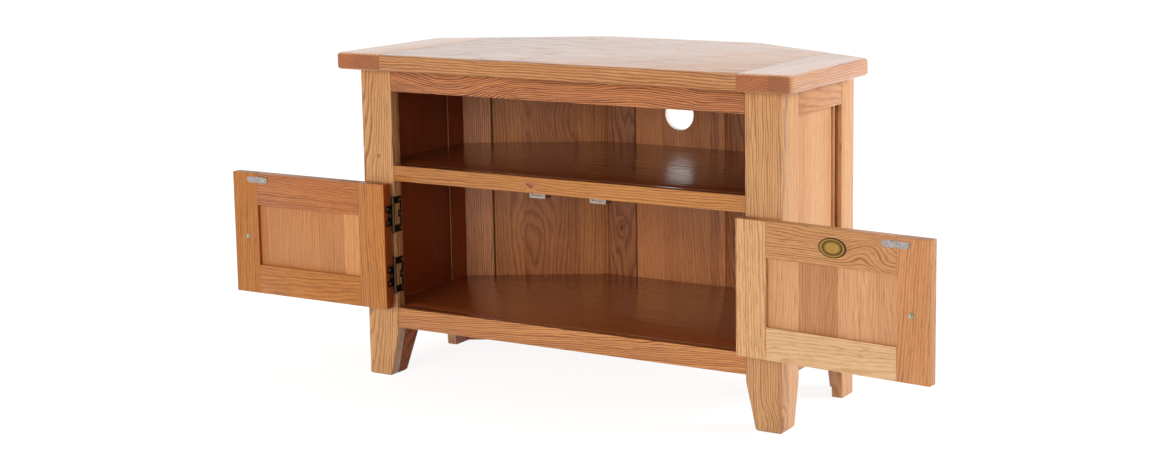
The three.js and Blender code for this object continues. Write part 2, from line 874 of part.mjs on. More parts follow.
// A door with its hinges, standing open about its pins.
function addDoor(half, side, openDegrees) {
  const door = new THREE.Group();
  door.position.set(pinPlace[0], pinPlace[1], 0);
  door.rotation.z = THREE.MathUtils.degToRad(openDegrees);
  half.add(door);
  const knobPlace = [doorFreeEdge + knobFromEdge, knobHeight];
  const screwHole = crossBar(
    screwRadius + glueLine,
    knobSides,
    knobPlace,
    doorFront - overrun,
    doorBack + overrun,
  );
  addDoorFrame(door, side, screwHole);
  addKnob(door, side, knobPlace);
  addStrikePlate(door, side);
  if (side === "right") addPlaque(door);
  const hingeHeights = {
    upper: doorTop - doorHeight * hingeEndShare,
    lower: doorBottom + doorHeight * hingeEndShare,
  };
  for (const [level, z] of Object.entries(hingeHeights)) {
    const frameSide = new THREE.Group();
    frameSide.position.set(pinPlace[0], pinPlace[1], z);
    half.add(frameSide);
    const doorSide = new THREE.Group();
    doorSide.position.z = z;
    door.add(doorSide);
    addHinge(frameSide, doorSide, `${level}_${side}`);
  }
}

// The magnetic catch under the shelf, opposite the strike plate of the shut door.
function addCatch(half, side) {
  const x = pinPlace[0] + doorFreeEdge + plateFromEdge;
  const top = shelfUnder - glueLine;
  const bottom = shelfUnder - catchHeight;
  const front = frameBack + glueLine;
  const xs = grown([x, x], catchWidth / 2);
  const slotMiddle = (top + bottom) / 2;
  const slot = block(
    grown(xs, -catchSlotMargin),
    [front - overrun, front + catchSlotDepth],
    grown([slotMiddle, slotMiddle], catchSlotHeight / 2),
  );
  const body = block(xs, [front, front + catchDepth], [bottom, top]).subtract(slot);
  addPiece(half, `magnetic_catch_${side}`, body, greySteel);
}

const cabinet = new THREE.Group();
cabinet.position.y = -originBehindLegs;
const cleat = addTop(cabinet);
addFrontRails(cabinet);
addDecks(cabinet);
addCentreBackBoard(cabinet);
for (const [side, sign, openDegrees] of [
  ["left", -1, leftOpenDegrees],
  ["right", 1, rightOpenDegrees],
]) {
  const half = new THREE.Group();
  half.scale.x = sign;
  cabinet.add(half);
  const pocket = sidePanelPocket();
  addPiece(half, `top_cleat_${side}`, cleat, oakCleat);
  addFrontLeg(half, side, pocket);
  addRearLeg(half, side, pocket);
  addSideFrame(half, side, pocket);
  addSlantedBoard(half, side);
  addOuterBackBoard(half, side);
  addDoor(half, side, openDegrees);
  addCatch(half, side);
}

const part = new THREE.Group();
part.add(cabinet);
export default part;
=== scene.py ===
"""Looks of the corner television cabinet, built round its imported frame.

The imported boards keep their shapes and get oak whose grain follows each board. The knobs,
the screw heads and the bare plaque are surfaces worked out here. Places are in metres in
the row frame, and sizes are in mm where a docstring says so.
"""

from __future__ import annotations

import json
import logging
import math
from dataclasses import dataclass, replace
from enum import Enum
from functools import partial
from typing import Any

import bpy
import numpy as np
from mathutils import Matrix, Vector

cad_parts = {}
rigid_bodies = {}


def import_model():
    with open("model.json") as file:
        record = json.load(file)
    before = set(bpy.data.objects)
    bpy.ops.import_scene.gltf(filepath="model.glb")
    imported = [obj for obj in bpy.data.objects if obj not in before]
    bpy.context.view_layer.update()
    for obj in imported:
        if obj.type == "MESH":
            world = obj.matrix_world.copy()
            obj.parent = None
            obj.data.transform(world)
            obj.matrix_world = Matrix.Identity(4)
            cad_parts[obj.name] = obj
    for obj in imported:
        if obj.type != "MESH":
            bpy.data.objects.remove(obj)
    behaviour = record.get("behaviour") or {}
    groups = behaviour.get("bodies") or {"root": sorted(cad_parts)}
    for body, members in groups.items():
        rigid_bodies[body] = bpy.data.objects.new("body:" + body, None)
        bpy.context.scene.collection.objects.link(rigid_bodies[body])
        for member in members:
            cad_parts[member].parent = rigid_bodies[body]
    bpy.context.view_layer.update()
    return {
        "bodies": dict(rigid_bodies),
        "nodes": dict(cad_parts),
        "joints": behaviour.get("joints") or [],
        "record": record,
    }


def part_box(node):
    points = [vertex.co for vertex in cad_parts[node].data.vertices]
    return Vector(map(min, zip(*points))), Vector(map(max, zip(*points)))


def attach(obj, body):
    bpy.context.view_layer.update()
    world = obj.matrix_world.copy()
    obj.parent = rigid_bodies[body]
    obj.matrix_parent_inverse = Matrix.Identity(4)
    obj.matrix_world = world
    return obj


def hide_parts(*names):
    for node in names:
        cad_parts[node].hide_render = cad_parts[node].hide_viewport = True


LOG = logging.getLogger("corner_cabinet")
MM = 0.001
UP = Vector((0, 0, 1))

Socket = bpy.types.NodeSocket
Material = bpy.types.Material
Object = bpy.types.Object
Pair = tuple[float, float]
Point = tuple[float, float, float]
Bend = tuple[float, float, float, float]

# The curve of sRGB: a straight foot up to the knee, then a power.
SRGB_KNEE = 0.04045
SRGB_SLOPE = 12.92
SRGB_OFFSET = 0.055
SRGB_POWER = 2.4

# Where a mix node takes its two colours, after the pairs for other types of value.
MIX_UNDER = 6
MIX_OVER = 7

# Packed boards: points closer than this are one, and each arris is eased, in mm.
WELD = 0.01
ARRIS = 0.8
ARRIS_STEPS = 2
ARRIS_DEGREES = 35
SMOOTH_DEGREES = 33

# The right door's hinge pins, across and back, in mm; the left door's are mirrored.
HINGE_PIN = (352.0, -191.087)


def linear(hex_colour: str) -> tuple[float, float, float, float]:
    """Turns an sRGB hex colour to the linear one that shaders take.

    Args:
        hex_colour: Six hex digits after a hash.

    Returns:
        Linear red, green and blue, with an alpha of one.
    """
    encoded = np.array([int(hex_colour[i : i + 2], 16) for i in (1, 3, 5)]) / 255
    low = encoded / SRGB_SLOPE
    high = ((encoded + SRGB_OFFSET) / (1 + SRGB_OFFSET)) ** SRGB_POWER
    red, green, blue = np.where(encoded <= SRGB_KNEE, low, high)
    return float(red), float(green), float(blue), 1.0


def per_metre(size: float) -> float:
    """Gives how many waves of a size in mm a metre holds, the scale of a pattern."""
    return 1 / (size * MM)


def set_ramp(node: bpy.types.Node, stops: tuple[Pair, ...]) -> None:
    """Gives a colour ramp grey stops.

    Args:
        node: The ramp node, with its two first stops.
        stops: Place and grey level of each stop, in order.
    """
    elements = node.color_ramp.elements
    while len(elements) < len(stops):
        elements.new(0.5)
    for element, (place, level) in zip(elements, stops):
        element.position = place
        element.color = (level, level, level, 1.0)


class Graph:
    """A node tree while it is put together."""

    def __init__(self, tree: bpy.types.NodeTree) -> None:
        """Takes a tree and empties it."""
        self.tree = tree
        self.tree.nodes.clear()

    def add(
        self,
        kind: str,
        *values: Any,
        inputs: dict[str | int, Any] | None = None,
        **settings: Any,
    ) -> Any:
        """Adds a node with its settings and links.

        Args:
            kind: The node's type name.
            *values: A value or an output for each of the first sockets, in order.
            inputs: Values or outputs for sockets by name or place.
            **settings: Properties of the node, set before its sockets.

        Returns:
            The first output in use, or nothing for a node that has none.
        """
        node = self.tree.nodes.new(kind)
        for name, setting in settings.items():
            setattr(node, name, setting)
        for key, value in [*enumerate(values), *(inputs or {}).items()]:
            if isinstance(value, Socket):
                self.tree.links.new(value, node.inputs[key])
            else:
                node.inputs[key].default_value = value
        return next((output for output in node.outputs if output.enabled), None)

    def sum_of(self, terms: list[tuple[Socket, float]], start: Any = 0.0) -> Any:
        """Adds weighted values: start plus each term times its weight.

        Args:
            terms: Values and their weights.
            start: What they are added to.

        Returns:
            The sum.
        """
        total = start
        for socket, weight in terms:
            total = self.add("ShaderNodeMath", socket, weight, total, operation="MULTIPLY_ADD")
        return total

    def tinted(self, colour: Any, *layers: tuple[Any, Any], mode: str = "MIX") -> Any:
        """Lays colours over a first one, each by its own share.

        Args:
            colour: The first colour, as an sRGB hex colour or an output.
            *layers: A share and a colour each, in order.
            mode: How a colour is laid over the one below.

        Returns:
            The colour.
        """
        for share, over in layers:
            below, above = (linear(c) if isinstance(c, str) else c for c in (colour, over))
            colour = self.add(
                "ShaderNodeMix",
                share,
                inputs={MIX_UNDER: below, MIX_OVER: above},
                data_type="RGBA",
                blend_type=mode,
            )
        return colour

    def distance(self, place: Socket, stretch: Point, point: Any = (0, 0, 0)) -> Socket:
        """Gives how far a place is from a point.

        Args:
            place: The place, in metres.
            stretch: What each axis is multiplied by first; nought leaves an axis out.
            point: The point, in metres.

        Returns:
            The distance, in metres.
        """
        away = self.add("ShaderNodeVectorMath", place, point, operation="SUBTRACT")
        drawn = self.add("ShaderNodeVectorMath", away, stretch, operation="MULTIPLY")
        return self.add("ShaderNodeVectorMath", drawn, operation="LENGTH")

    def seen_directly(self) -> Socket:
        """Tells rays from the camera, glossy and transmission rays from all others.

        Returns:
            One for them, and nought for the others.
        """
        rays = self.add("ShaderNodeLightPath").node.outputs
        total: Any = rays["Is Camera Ray"]
        for name in ("Is Glossy Ray", "Is Transmission Ray"):
            total = self.add("ShaderNodeMath", total, rays[name], operation="MAXIMUM")
        return total


class Shader(Graph):
    """The node tree of a new material, with the coordinates that its patterns read."""

    def __init__(self, name: str) -> None:
        """Makes the material.

        Args:
            name: Its name.
        """
        self.material = bpy.data.materials.new(name)
        self.material.use_nodes = True
        super().__init__(self.material.node_tree)
        coords = self.add("ShaderNodeTexCoord").node.outputs
        self.place, self.normal = coords["Object"], coords["Normal"]

    def done(self, surface: Socket) -> Material:
        """Gives the material its surface and returns it."""
        self.add("ShaderNodeOutputMaterial", surface)
        return self.material

    def metal(self, mottle: Socket, relief: Pair, looks: dict[str | int, Any]) -> Material:
        """Ends the material as metal whose mottling also stands out in relief.

        Args:
            mottle: The noise that mottles it.
            relief: Strength of the relief, and its depth in mm.
            looks: The surface's inputs by name.

        Returns:
            The material.
        """
        strength, depth = relief
        felt = {"Height": mottle, "Strength": strength, "Distance": depth * MM}
        looks["Normal"] = self.add("ShaderNodeBump", inputs=felt)
        return self.done(self.add("ShaderNodeBsdfPrincipled", inputs=looks))


class Lay(Enum):
    """How a board lies: the direction of its grain, then the direction across its face."""

    FLAT_LONG = ((1, 0, 0), (0, 1, 0))
    FLAT_DEEP = ((0, 1, 0), (1, 0, 0))
    FRONT_LONG = ((1, 0, 0), (0, 0, 1))
    FRONT_TALL = ((0, 0, 1), (1, 0, 0))
    SIDE_LONG = ((0, 1, 0), (0, 0, 1))
    SIDE_TALL = ((0, 0, 1), (0, 1, 0))


@dataclass(frozen=True)
class Cut:
    """How a board was sawn from its log, which settles the figure on its face.

    The log's heart runs near the grain direction. Growth rings are cylinders round it, so
    a board over the heart shows arches and a board beside it shows straight lines. Lengths
    are in mm, and places on the face are along and across from its middle.

    Attributes:
        lay: How the board lies.
        heart_across: How far beside the board's middle the heart runs.
        heart_depth: How far from its middle the heart runs, square to the face.
        lean_across: Degrees by which the heart leans across the face.
        lean_depth: Degrees by which it leans into the board.
        ring: Width of a year.
        warp: How far slow waves bend the rings.
        sway: How far the grain sways sideways.
        figure: How strongly the rings show.
        seed: Sets the board apart from the others.
        tone: What is added to the darkness, from light at 0 to dark at 1.
        strips: Where each glued strip starts across the face, and its tone.
        grooves: Where a seam runs across the face, and half its width.
        knots: Place along and across, and radius.
        bends: Place along and across, radius, and years by which the rings swirl there.
        bore: Place along and across, and radius, of a drilled hole.
        turn: Degrees by which the board is turned about the upright.
    """

    lay: Lay
    heart_across: float = 15.0
    heart_depth: float = 45.0
    lean_across: float = 0.5
    lean_depth: float = 4.0
    ring: float = 4.8
    warp: float = 7.0
    sway: float = 1.2
    figure: float = 1.0
    seed: float = 0.0
    tone: float = 0.0
    strips: tuple[Pair, ...] = ()
    grooves: tuple[Pair, ...] = ()
    knots: tuple[Point, ...] = ()
    bends: tuple[Bend, ...] = ()
    bore: Point | None = None
    turn: float = 0.0

    def axes(self) -> Matrix:
        """Turns the directions of grain, face and depth with the board.

        Returns:
            The board's own axes as columns: grain, across and depth.
        """
        grain, across = (Vector(axis) for axis in self.lay.value)
        columns = Matrix((grain, across, grain.cross(across))).transposed()
        return Matrix.Rotation(math.radians(self.turn), 3, "Z") @ columns

    def log_axes(self) -> Matrix:
        """Leans the log a little from the board.

        Returns:
            The log's axes as columns, its heart first.
        """
        lean = Matrix.Rotation(math.radians(self.lean_across), 3, "Z")
        dip = Matrix.Rotation(math.radians(self.lean_depth), 3, "Y")
        return self.axes() @ lean @ dip


# Sawn beside the heart, so that the face shows straight lines.
rift_cut = partial(Cut, heart_across=160.0, heart_depth=30.0, lean_depth=0.5)


@dataclass(frozen=True)
class Streak:
    """Noise drawn out along the grain.

    Attributes:
        length: Length of a wave along the grain, in mm.
        width: Its width across the grain, a light and a dark streak together, in mm.
        detail: Octaves of the noise.
        shift: Sets the noise apart from the others.
    """

    length: float
    width: float
    detail: float
    shift: float


# Bundles of fibres, 1.5 mm of each tone: coarser than real ones so that they show.
FIBRES = Streak(222.22, 3.0303, 2, 0)
# Open pores under 1 mm wide and a few cm long, coarser than real ones too.
PORES = Streak(45.455, 1.5625, 3, 3)
# Slow changes of tone.
CLOUDS = Streak(555.56, 38.462, 2, 7)
# What bends the rings: slow and quick waves.
SLOW_WARP = Streak(312.5, 41.667, 2, 11)
QUICK_WARP = Streak(62.5, 11.111, 2, 13)
# Ripples left by the plane, which draw reflections out.
RIPPLES = Streak(166.67, 8.3333, 2, 17)
# Where the painted glare on an upper face thins out.
GLARE_DRIFT = Streak(250.0, 14.286, 3, 19)
# Open grain into which lacquer has sunk.
OPEN_GRAIN = Streak(71.429, 7.1429, 2, 23)
STREAK_ROUGHNESS = 0.6
STREAK_SEED = (1.7, 1.0, 0.6)

# The sideways sway: length and width of its waves in mm, and what its noise is times.
SWAY_LENGTH = 71.429
SWAY_WIDTH = 33.333
SWAY_SEED = 0.4
SWAY_DETAIL = 2.0
SWAY_GAIN = 4

# How far each glued strip is moved in the log, in metres, and half a glue line, in mm.
STRIP_SHIFT = (0.73, 0.019, 0.011)
GLUE_HALF = 0.35
GLUE_SHARE = 0.3

# Darkness over one year: early wood, the rise to late wood, and its sharp end.
YEAR = ((0.0, 0.1), (0.45, 0.22), (0.75, 1.0), (0.9, 0.85), (1.0, 0.1))
# Slow waves bend the rings by up to twice the warp, and quick ones by most of a year.
SLOW_GAIN = 2
QUICK_YEARS = 0.9
# Some years show more than others: waves per year, least darkness and its range.
GOOD_YEARS = 0.6
LEAST_YEAR = 0.15
YEAR_RANGE = 1.3

# Round a knot, in radii: how far rings swirl, and by how many years, and its red edge.
KNOT_REACH = 4
KNOT_YEARS = 1.6
KNOT_RING = 2.2
# Lengths along the grain count less, so that knots and bends are drawn out along it.
DRAWN_OUT = 0.6

# Colours within the wood: round a knot, in it, the painted shadow in a seam, in a pore, in a
# fresh hole.
KNOT_EDGE = "#8A4A22"
KNOT_CORE = "#3A1C0E"
SEAM_SHADOW = "#2C150A"
PORE = "#5E3A20"
FRESH_WOOD = "#F2E8DE"
SEAM_SHARE = 0.85
HOLE_MARGIN = 0.4

# How far rings, fibres, pores and clouds darken the wood, and their usual levels.
RING_SHARE = 1.5
FIBRE_SHARE = 1.0
PORE_SHARE = 1.2
CLOUD_SHARE = 0.9
RING_LEVEL = 0.35
NOISE_LEVEL = 0.5
MIDDLE_TONE = 0.42

# Ranges of noise: where a streak begins to show, and where it shows in full.
PORE_RANGE = (0.56, 0.74)
PORE_MOST = 0.5
GLARE_DRIFT_RANGE = (0.4, 0.7)
OPEN_RANGE = (0.48, 0.64)

# Relief of rings, fibres and pores, its depth in mm, and what they do to the roughness.
RELIEF_SHARES = (0.4, 0.8, 1.0)
RELIEF_DEPTH = 0.14
GLOSS_SHARES = (0.16, 0.06)
GLOSS_LEVEL = 0.1
WOOD_IOR = 1.5


@dataclass(frozen=True)
class Look:
    """Which faces look along a line, by the squared cosine of the angle between them.

    Attributes:
        start: Where the result leaves nought.
        full: Where it is highest.
        most: Its highest value.
        one_way: Whether faces that look the other way give nought.
    """

    start: float
    full: float
    most: float = 1.0
    one_way: bool = True


# The first look picks the faces towards the cabinet's middle, which get painted shade.
SHADED_INNER_FACE = Look(0.4, 0.7)
UPPER_FACE = Look(0.6, 0.95)
SEAM_FACE = Look(0.3, 0.9)
FRONT_AND_BACK = Look(0.3, 0.7, one_way=False)
END_GRAIN = Look(0.3, 0.85, 0.9, one_way=False)


@dataclass(frozen=True)
class OakFinish:
    """Oak boards, planed and sanded, under a clear satin lacquer.

    Rings 4 to 7 mm apart give the main lines, drawn a little coarser than the finest real
    ones so that they show. Fibres and open pores give the streaks between them. The lacquer
    gives a soft sheen, and sinks into the end grain, which turns it darker.

    Attributes:
        light: Early wood.
        dark: Late wood.
        end: Early wood of the end grain.
        end_dark: Its late wood, and the glue lines.
        contrast: How far the figure spreads between light and dark.
        roughness: Roughness of the wood under the lacquer.
        coat: Weight of the lacquer.
        front_coat: Its weight on faces to the front and back.
        coat_roughness: How satin it is.
        coat_ior: How strongly it reflects.
        relief: How strongly the grain is felt through it.
        ripple: How strong the plane's ripples are.
        open_grain: How much lacquer is missing over open grain.
        inner: Painted shade: what the face towards the cabinet's middle is multiplied by.
        upper: Painted reflection on the upper face, a haze that stands in for what it mirrors:
            its colour, its share, and how streaky it is.
    """

    light: str
    dark: str
    end: str = "#A4663C"
    end_dark: str = "#74401F"
    contrast: float = 0.62
    roughness: float = 0.5
    coat: float = 0.25
    front_coat: float = 0.25
    coat_roughness: float = 0.3
    coat_ior: float = 1.5
    relief: float = 0.4
    ripple: float = 0.0
    open_grain: float = 0.0
    inner: str | None = None
    upper: tuple[str, float, float] | None = None


class Timber(Shader):
    """The oak of one board while it is put together."""

    def __init__(self, name: str, finish: OakFinish, cut: Cut, centre: Vector) -> None:
        """Starts from the place in the log and the place on the board.

        Args:
            name: The material's name.
            finish: The oak.
            cut: How the board was sawn and how it lies.
            centre: The middle of the board.
        """
        super().__init__(name)
        self.finish = finish
        self.cut = cut
        self.centre = centre
        self.tone: Any = cut.tone
        self.glue: Any = 0.0
        heart = cut.axes() @ Vector((0, cut.heart_across, cut.heart_depth)) * MM
        self.log, self.board = (
            self.add(
                "ShaderNodeMapping",
                inputs={"Vector": self.place, "Location": origin, "Rotation": axes.to_euler()},
                vector_type="TEXTURE",
            )
            for origin, axes in ((centre + heart, cut.log_axes()), (centre, cut.axes()))
        )
        self.across = self.add("ShaderNodeSeparateXYZ", self.board).node.outputs[1]

    def build(self) -> Material:
        """Puts figure, colour, relief and lacquer together.

        Returns:
            The material.
        """
        finish = self.finish
        self.glue_up()
        self.sway()
        rings = self.rings()
        fibres, pores, clouds = (self.streaks(self.log, s) for s in (FIBRES, PORES, CLOUDS))
        colour = self.wood(rings, fibres, pores, clouds)
        colour = self.knotted(colour)
        colour = self.painted_shade_and_glare(colour)
        if self.cut.strips:
            glue = self.sum_of([(self.glue, GLUE_SHARE)])
            colour = self.tinted(colour, (glue, finish.end_dark))
        colour = self.grooved(colour)
        colour = self.bored(colour)
        relief = self.sum_of(list(zip((rings, fibres, pores), RELIEF_SHARES)))
        if finish.ripple:
            relief = self.sum_of([(self.streaks(self.board, RIPPLES), finish.ripple)], relief)
        felt = {"Height": relief, "Strength": finish.relief, "Distance": RELIEF_DEPTH * MM}
        bump = self.add("ShaderNodeBump", inputs=felt, invert=True)
        gloss = list(zip((fibres, rings), GLOSS_SHARES))
        surface = self.add(
            "ShaderNodeBsdfPrincipled",
            inputs={
                "Base Color": colour,
                "Roughness": self.sum_of(gloss, finish.roughness - GLOSS_LEVEL),
                "IOR": WOOD_IOR,
                "Coat Weight": self.lacquer(),
                "Coat Roughness": finish.coat_roughness,
                "Coat IOR": finish.coat_ior,
                "Normal": bump,
                "Coat Normal": bump,
            },
        )
        return self.done(surface)

    def glue_up(self) -> None:
        """Divides a glued-up board into strips, each from another part of its log.

        Past each strip's start an index rises by one, which moves the place in the log, and
        the tone changes to the strip's own.
        """
        if not self.cut.strips:
            return
        index: Any = 0.0
        before = self.cut.tone
        for start, own in self.cut.strips:
            edge = start * MM
            past = self.add("ShaderNodeMath", self.across, edge, operation="GREATER_THAN")
            near = self.add(
                "ShaderNodeMath", self.across, edge, GLUE_HALF * MM, operation="COMPARE"
            )
            index = self.sum_of([(past, 1.0)], index)
            self.tone = self.sum_of([(past, own - before)], self.tone)
            self.glue = self.sum_of([(near, 1.0)], self.glue)
            before = own
        shift = self.add(
            "ShaderNodeVectorMath", STRIP_SHIFT, inputs={"Scale": index}, operation="SCALE"
        )
        self.log = self.add("ShaderNodeVectorMath", self.log, shift, operation="ADD")

    def sway(self) -> None:
        """Bends the grain sideways by slow noise, so that its lines are wavy."""
        seed = (self.cut.seed, self.cut.seed * SWAY_SEED, 0)
        across = per_metre(SWAY_WIDTH)
        waves = (per_metre(SWAY_LENGTH), across, across)
        drawn = self.add(
            "ShaderNodeVectorMath", self.log, waves, seed, operation="MULTIPLY_ADD"
        )
        noise = {"Scale": 1.0, "Detail": SWAY_DETAIL}
        swing = self.add("ShaderNodeTexNoise", drawn, inputs=noise).node.outputs["Color"]
        reach = SWAY_GAIN * self.cut.sway * MM
        self.log = self.add(
            "ShaderNodeVectorMath", swing, (0, reach, reach), self.log, operation="MULTIPLY_ADD"
        )

    def streaks(self, place: Socket, streak: Streak) -> Socket:
        """Adds noise drawn out along the grain.

        Args:
            place: Place in the log or on the board, in metres.
            streak: The noise.

        Returns:
            The noise, from 0 to 1.
        """
        seed = self.cut.seed + streak.shift
        across = per_metre(streak.width)
        drawn = self.add(
            "ShaderNodeVectorMath",
            place,
            (per_metre(streak.length), across, across),
            tuple(seed * factor for factor in STREAK_SEED),
            operation="MULTIPLY_ADD",
        )
        noise = {"Scale": 1.0, "Detail": streak.detail, "Roughness": STREAK_ROUGHNESS}
        return self.add("ShaderNodeTexNoise", drawn, inputs=noise)

    def rings(self) -> Socket:
        """Adds the growth rings.

        The distance from the heart, bent by slow noise, is divided by the ring width. The
        fraction that is left runs from pale early wood to a dark late line in each ring.

        Returns:
            The late wood's darkness, from 0 to 1.
        """
        cut = self.cut
        terms = [
            (self.distance(self.log, (0, 1, 1)), 1 / (MM * cut.ring)),
            (self.streaks(self.log, SLOW_WARP), SLOW_GAIN * cut.warp / cut.ring),
            (self.streaks(self.log, QUICK_WARP), QUICK_YEARS),
        ]
        swirls = [(x, y, KNOT_REACH * radius, KNOT_YEARS) for x, y, radius in cut.knots]
        for along, across, radius, years in (*swirls, *cut.bends):
            terms.append((self.nearness(along, across, radius), years))
        age = self.sum_of(terms)
        phase = self.add("ShaderNodeMath", age, operation="FRACT")
        late = self.add("ShaderNodeValToRGB", phase)
        set_ramp(late.node, YEAR)
        noise = {"W": age, "Scale": GOOD_YEARS, "Detail": 1.0}
        good_years = self.add("ShaderNodeTexNoise", inputs=noise, noise_dimensions="1D")
        lively = self.sum_of([(good_years, YEAR_RANGE)], LEAST_YEAR)
        return self.add("ShaderNodeMath", late, lively, operation="MULTIPLY", use_clamp=True)

    def nearness(self, along: float, across: float, radius: float) -> Socket:
        """Gives one at a place on the board's face, falling to nought at a radius.

        Args:
            along: The place along the grain, in mm from the middle.
            across: The place across it, in mm.
            radius: The radius, in mm.

        Returns:
            The nearness, from 0 to 1.
        """
        point = (along * MM, across * MM, 0)
        away = self.distance(self.board, (DRAWN_OUT, 1, 0), point)
        fall = (0.0, radius * MM, 1.0, 0.0)
        return self.add("ShaderNodeMapRange", away, *fall, interpolation_type="SMOOTHSTEP")

    def wood(self, rings: Socket, fibres: Socket, pores: Socket, clouds: Socket) -> Socket:
        """Mixes pale and dark wood, dots the pores and turns the end grain darker.

        Args:
            rings: Late wood.
            fibres: Fine streaks.
            pores: The finest streaks.
            clouds: Slow variation.

        Returns:
            The colour.
        """
        finish = self.finish
        ring_share = RING_SHARE * self.cut.figure
        even = NOISE_LEVEL * (FIBRE_SHARE + PORE_SHARE + CLOUD_SHARE)
        middle = MIDDLE_TONE - finish.contrast * (RING_LEVEL * ring_share + even)
        terms = [
            (rings, ring_share * finish.contrast),
            (fibres, FIBRE_SHARE * finish.contrast),
            (pores, PORE_SHARE * finish.contrast),
            (clouds, CLOUD_SHARE * finish.contrast),
        ]
        if self.cut.strips:
            terms.append((self.tone, 1.0))
        else:
            middle += self.tone
        share = self.add("ShaderNodeClamp", self.sum_of(terms, middle), 0.0, 1.0)
        dots = self.add("ShaderNodeMapRange", pores, *PORE_RANGE, 0.0, PORE_MOST)
        wood = self.tinted(finish.light, (share, finish.dark), (dots, PORE))
        ends = self.towards(self.cut.axes().col[0], END_GRAIN)
        end_wood = self.tinted(finish.end, (share, finish.end_dark))
        return self.tinted(wood, (ends, end_wood))

    def towards(self, way: Vector, look: Look) -> Socket:
        """Gives how squarely a face looks along a line.

        Args:
            way: The line's direction.
            look: Which faces count.

        Returns:
            The result.
        """
        cosine = self.add(
            "ShaderNodeVectorMath", self.normal, tuple(way), operation="DOT_PRODUCT"
        )
        other = cosine
        if look.one_way:
            other = self.add("ShaderNodeMath", cosine, 0.0, operation="MAXIMUM")
        square = self.add("ShaderNodeMath", cosine, other, operation="MULTIPLY")
        return self.add("ShaderNodeMapRange", square, look.start, look.full, 0.0, look.most)

    def knotted(self, colour: Socket) -> Socket:
        """Darkens the colour towards each knot: a reddish ring, then a near-black core.

        Args:
            colour: The colour so far.

        Returns:
            The colour.
        """
        for along, across, radius in self.cut.knots:
            ring = self.nearness(along, across, KNOT_RING * radius)
            core = self.nearness(along, across, radius)
            colour = self.tinted(colour, (ring, KNOT_EDGE), (core, KNOT_CORE))
        return colour

    def painted_shade_and_glare(self, colour: Socket) -> Socket:
        """Paints shade on the face towards the cabinet's middle, and a streaky painted
        reflection on the upper face.

        Args:
            colour: The colour so far.

        Returns:
            The colour.
        """
        # Painted shade: the face towards the cabinet's middle is multiplied darker.
        if self.finish.inner is not None:
            inward = Vector((-math.copysign(1, self.centre.x), 0, 0))
            shaded_inside = self.towards(inward, SHADED_INNER_FACE)
            colour = self.tinted(colour, (shaded_inside, self.finish.inner), mode="MULTIPLY")
        # Painted reflection: upper faces are mixed towards the haze colour, in streaks.
        if self.finish.upper is not None:
            glare_tint, most, streaky = self.finish.upper
            above = self.towards(UP, replace(UPPER_FACE, most=most))
            drift = self.streaks(self.board, GLARE_DRIFT)
            plain = self.add("ShaderNodeMapRange", drift, *GLARE_DRIFT_RANGE, 1.0, 1.0 - streaky)
            painted_glare = self.add("ShaderNodeMath", above, plain, operation="MULTIPLY")
            colour = self.tinted(colour, (painted_glare, glare_tint))
        return colour

    def grooved(self, colour: Socket) -> Socket:
        """Draws the shadow where a board meets its neighbour: a dark line along it.

        On a board with a painted reflection on its upper face the line is drawn on that face
        only.

        Args:
            colour: The colour so far.

        Returns:
            The colour.
        """
        for place, half in self.cut.grooves:
            near = self.add(
                "ShaderNodeMath", self.across, place * MM, half * MM, operation="COMPARE"
            )
            shadow = self.sum_of([(near, SEAM_SHARE)])
            if self.finish.upper is not None:
                above = self.towards(UP, SEAM_FACE)
                shadow = self.add("ShaderNodeMath", shadow, above, operation="MULTIPLY")
            colour = self.tinted(colour, (shadow, SEAM_SHADOW))
        return colour

    def bored(self, colour: Socket) -> Socket:
        """Leaves the wall of a drilled hole pale, as freshly cut wood is.

        Args:
            colour: The colour so far.

        Returns:
            The colour.
        """
        if self.cut.bore is None:
            return colour
        along, across, radius = self.cut.bore
        away = self.distance(self.board, (1, 1, 0), (along * MM, across * MM, 0))
        reach = (radius + HOLE_MARGIN) * MM
        wall = self.add("ShaderNodeMath", away, reach, operation="LESS_THAN")
        return self.tinted(colour, (wall, FRESH_WOOD))

    def lacquer(self) -> Any:
        """Weighs the lacquer by face, with less of it over open grain.

        Returns:
            The weight.
        """
        coat: Any = self.finish.coat
        extra = self.finish.front_coat - self.finish.coat
        if extra:
            coat = self.sum_of([(self.towards(Vector((0, 1, 0)), FRONT_AND_BACK), extra)], coat)
        if self.finish.open_grain:
            bare = self.streaks(self.board, OPEN_GRAIN)
            left = 1.0 - self.finish.open_grain
            kept = self.add("ShaderNodeMapRange", bare, *OPEN_RANGE, 1.0, left)
            coat = self.add("ShaderNodeMath", coat, kept, operation="MULTIPLY")
        return coat


